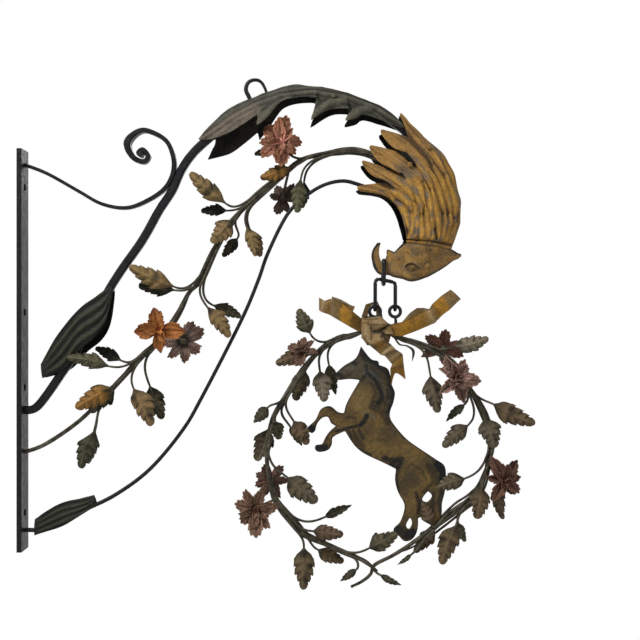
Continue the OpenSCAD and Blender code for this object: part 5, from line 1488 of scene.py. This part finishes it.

# beak: the plate's corners worn round, gilt on its faces, with painted shade along its outer rim and side
# faces
beak = {"grain": 1.0, "rounds": 4, "gold": tint(124, 94, 52), "dark": tint(22, 20, 18), "width": 0.17,
        "outer": [(35.85, 10.75), (35.45, 10.4), (35.2, 10), (35.1, 9.5), (35.2, 8.7), (35.6, 7.75),
                  (36.2, 7.2)],
        "end": (35.85, 10.7)}
plate = wornPlate("beak_hook", "beakHook", beak)
normals = [n.vector.copy() for n in plate.data.vertex_normals]


def beakCoat(v):
    x, z = v.co.x / square, v.co.z / square
    # painted shade along the outer rim, where the sheet wraps away, and on the side faces; darker at the
    # upper end
    rimShade = 1 - ease(nearLine(x, z, beak["outer"]), beak["width"], beak["width"] * 1.9)
    tipped = 1 - ease(math.hypot(x - beak["end"][0], z - beak["end"][1]), 0.25, 0.55)
    sideShade = 1 - ease(abs(normals[v.index].y), 0.3, 0.75)
    return blended(beak["gold"], beak["dark"], max(rimShade, 0.85 * tipped, 0.8 * sideShade))


brush(plate, beakCoat)
coatWith(plate, 60, goldPaint)
fit(plate, "bracket", "gold_paint", "beak_hook")

# the wall plate and the rivets keep their own shape, with worn corners
for node, coat, width in (("wall_plate", forgedIron, 1.2), ("saddle_rivet", oliveRivet, 0.9),
                          ("neck_rivets", rivetPaint, 0.9), ("eye_rivet", rivetPaint, 0.9)):
    part = frame["nodes"][node]
    part.data.materials.clear()
    part.data.materials.append(coat)
    part.modifiers.new("weld", 'WELD').merge_threshold = sameSpot
    soft = part.modifiers.new("worn", 'BEVEL')
    soft.width = width * milli
    soft.segments = 2
    soft.limit_method = 'ANGLE'
    soft.angle_limit = math.radians(30)
print("plate and rivets finished")


# 1 for what the camera sees, straight or in a gloss, and 0 for light on its way to the sign
def seenRays(nodes, wires):
    path = nodes.new('ShaderNodeLightPath')
    seen = path.outputs['Is Camera Ray']
    for ray in ('Is Glossy Ray', 'Is Transmission Ray'):
        either = nodes.new('ShaderNodeMath')
        either.operation = 'MAXIMUM'
        wires.new(seen, either.inputs[0])
        wires.new(path.outputs[ray], either.inputs[1])
        seen = either.outputs[0]
    return seen


def blendInto(nodes, wires, share, first, second, end):
    both = nodes.new('ShaderNodeMixShader')
    wires.new(share, both.inputs['Fac'])
    wires.new(first.outputs[0], both.inputs[1])
    wires.new(second.outputs[0], both.inputs[2])
    wires.new(both.outputs[0], nodes[end].inputs['Surface'])


# stage: pale floor that turns white away from the sign, white sky, soft lamps, camera as in the photo
stage = {"floor": -0.95, "size": 30, "pale": (0.8, 0.8, 0.79), "sky": 0.3, "look": (0.48, 0, 0.048),
         "camera": (0.48, -1.6, 0.048), "lens": 56.25, "fade": (0.55, 1.3), "middle": 0.45,
         "lamps": [((-0.9, -1.3, 1.9), 0.8, 72), ((1.7, -2.0, 0.6), 1.4, 11), ((0.6, 1.9, 1.3), 1.4, 16)]}
floor = fresh(bpy.ops.mesh.primitive_plane_add, size=stage["size"], location=(0, 0, 0))
floor.name = "floor"
for v in floor.data.vertices:
    v.co.z = stage["floor"]
paper = bpy.data.materials.new("paperFloor")
paper.use_nodes = True
nodes, wires = paper.node_tree.nodes, paper.node_tree.links
plain = nodes["Principled BSDF"]
plain.inputs['Base Color'].default_value = (*stage["pale"], 1)
plain.inputs['Roughness'].default_value = 0.9
glow = nodes.new('ShaderNodeEmission')
glow.inputs['Strength'].default_value = 1
place = nodes.new('ShaderNodeTexCoord')
shift = nodes.new('ShaderNodeMapping')
shift.inputs['Location'].default_value = (-stage["middle"], 0, -stage["floor"])
far = nodes.new('ShaderNodeVectorMath')
far.operation = 'LENGTH'
fade = nodes.new('ShaderNodeMapRange')
fade.inputs['From Min'].default_value = stage["fade"][0]
fade.inputs['From Max'].default_value = stage["fade"][1]
share = nodes.new('ShaderNodeMath')
share.operation = 'MULTIPLY'
wires.new(place.outputs['Object'], shift.inputs['Vector'])
wires.new(shift.outputs['Vector'], far.inputs[0])
wires.new(far.outputs['Value'], fade.inputs['Value'])
wires.new(seenRays(nodes, wires), share.inputs[0])
wires.new(fade.outputs['Result'], share.inputs[1])
blendInto(nodes, wires, share.outputs[0], plain, glow, "Material Output")
floor.data.materials.append(paper)

world = bpy.data.worlds.new("studio")
bpy.context.scene.world = world
world.use_nodes = True
nodes, wires = world.node_tree.nodes, world.node_tree.links
sky = nodes["Background"]
sky.inputs['Color'].default_value = (1, 1, 1, 1)
sky.inputs['Strength'].default_value = stage["sky"]
white = nodes.new('ShaderNodeBackground')
white.inputs['Color'].default_value = (1, 1, 1, 1)
white.inputs['Strength'].default_value = 1
blendInto(nodes, wires, seenRays(nodes, wires), sky, white, "World Output")

for place, size, power in stage["lamps"]:
    lamp = fresh(bpy.ops.object.light_add, type='AREA', location=place)
    lamp.data.size = size
    lamp.data.energy = power
    lamp.rotation_euler = (Vector(stage["look"]) - lamp.location).to_track_quat('-Z', 'Y').to_euler()

camera = fresh(bpy.ops.object.camera_add, location=stage["camera"], rotation=(math.radians(90), 0, 0))
camera.data.lens = stage["lens"]
camera.data.sensor_width = 36
bpy.context.scene.camera = camera
bpy.context.scene.view_settings.view_transform = 'Standard'
print("stage lit")
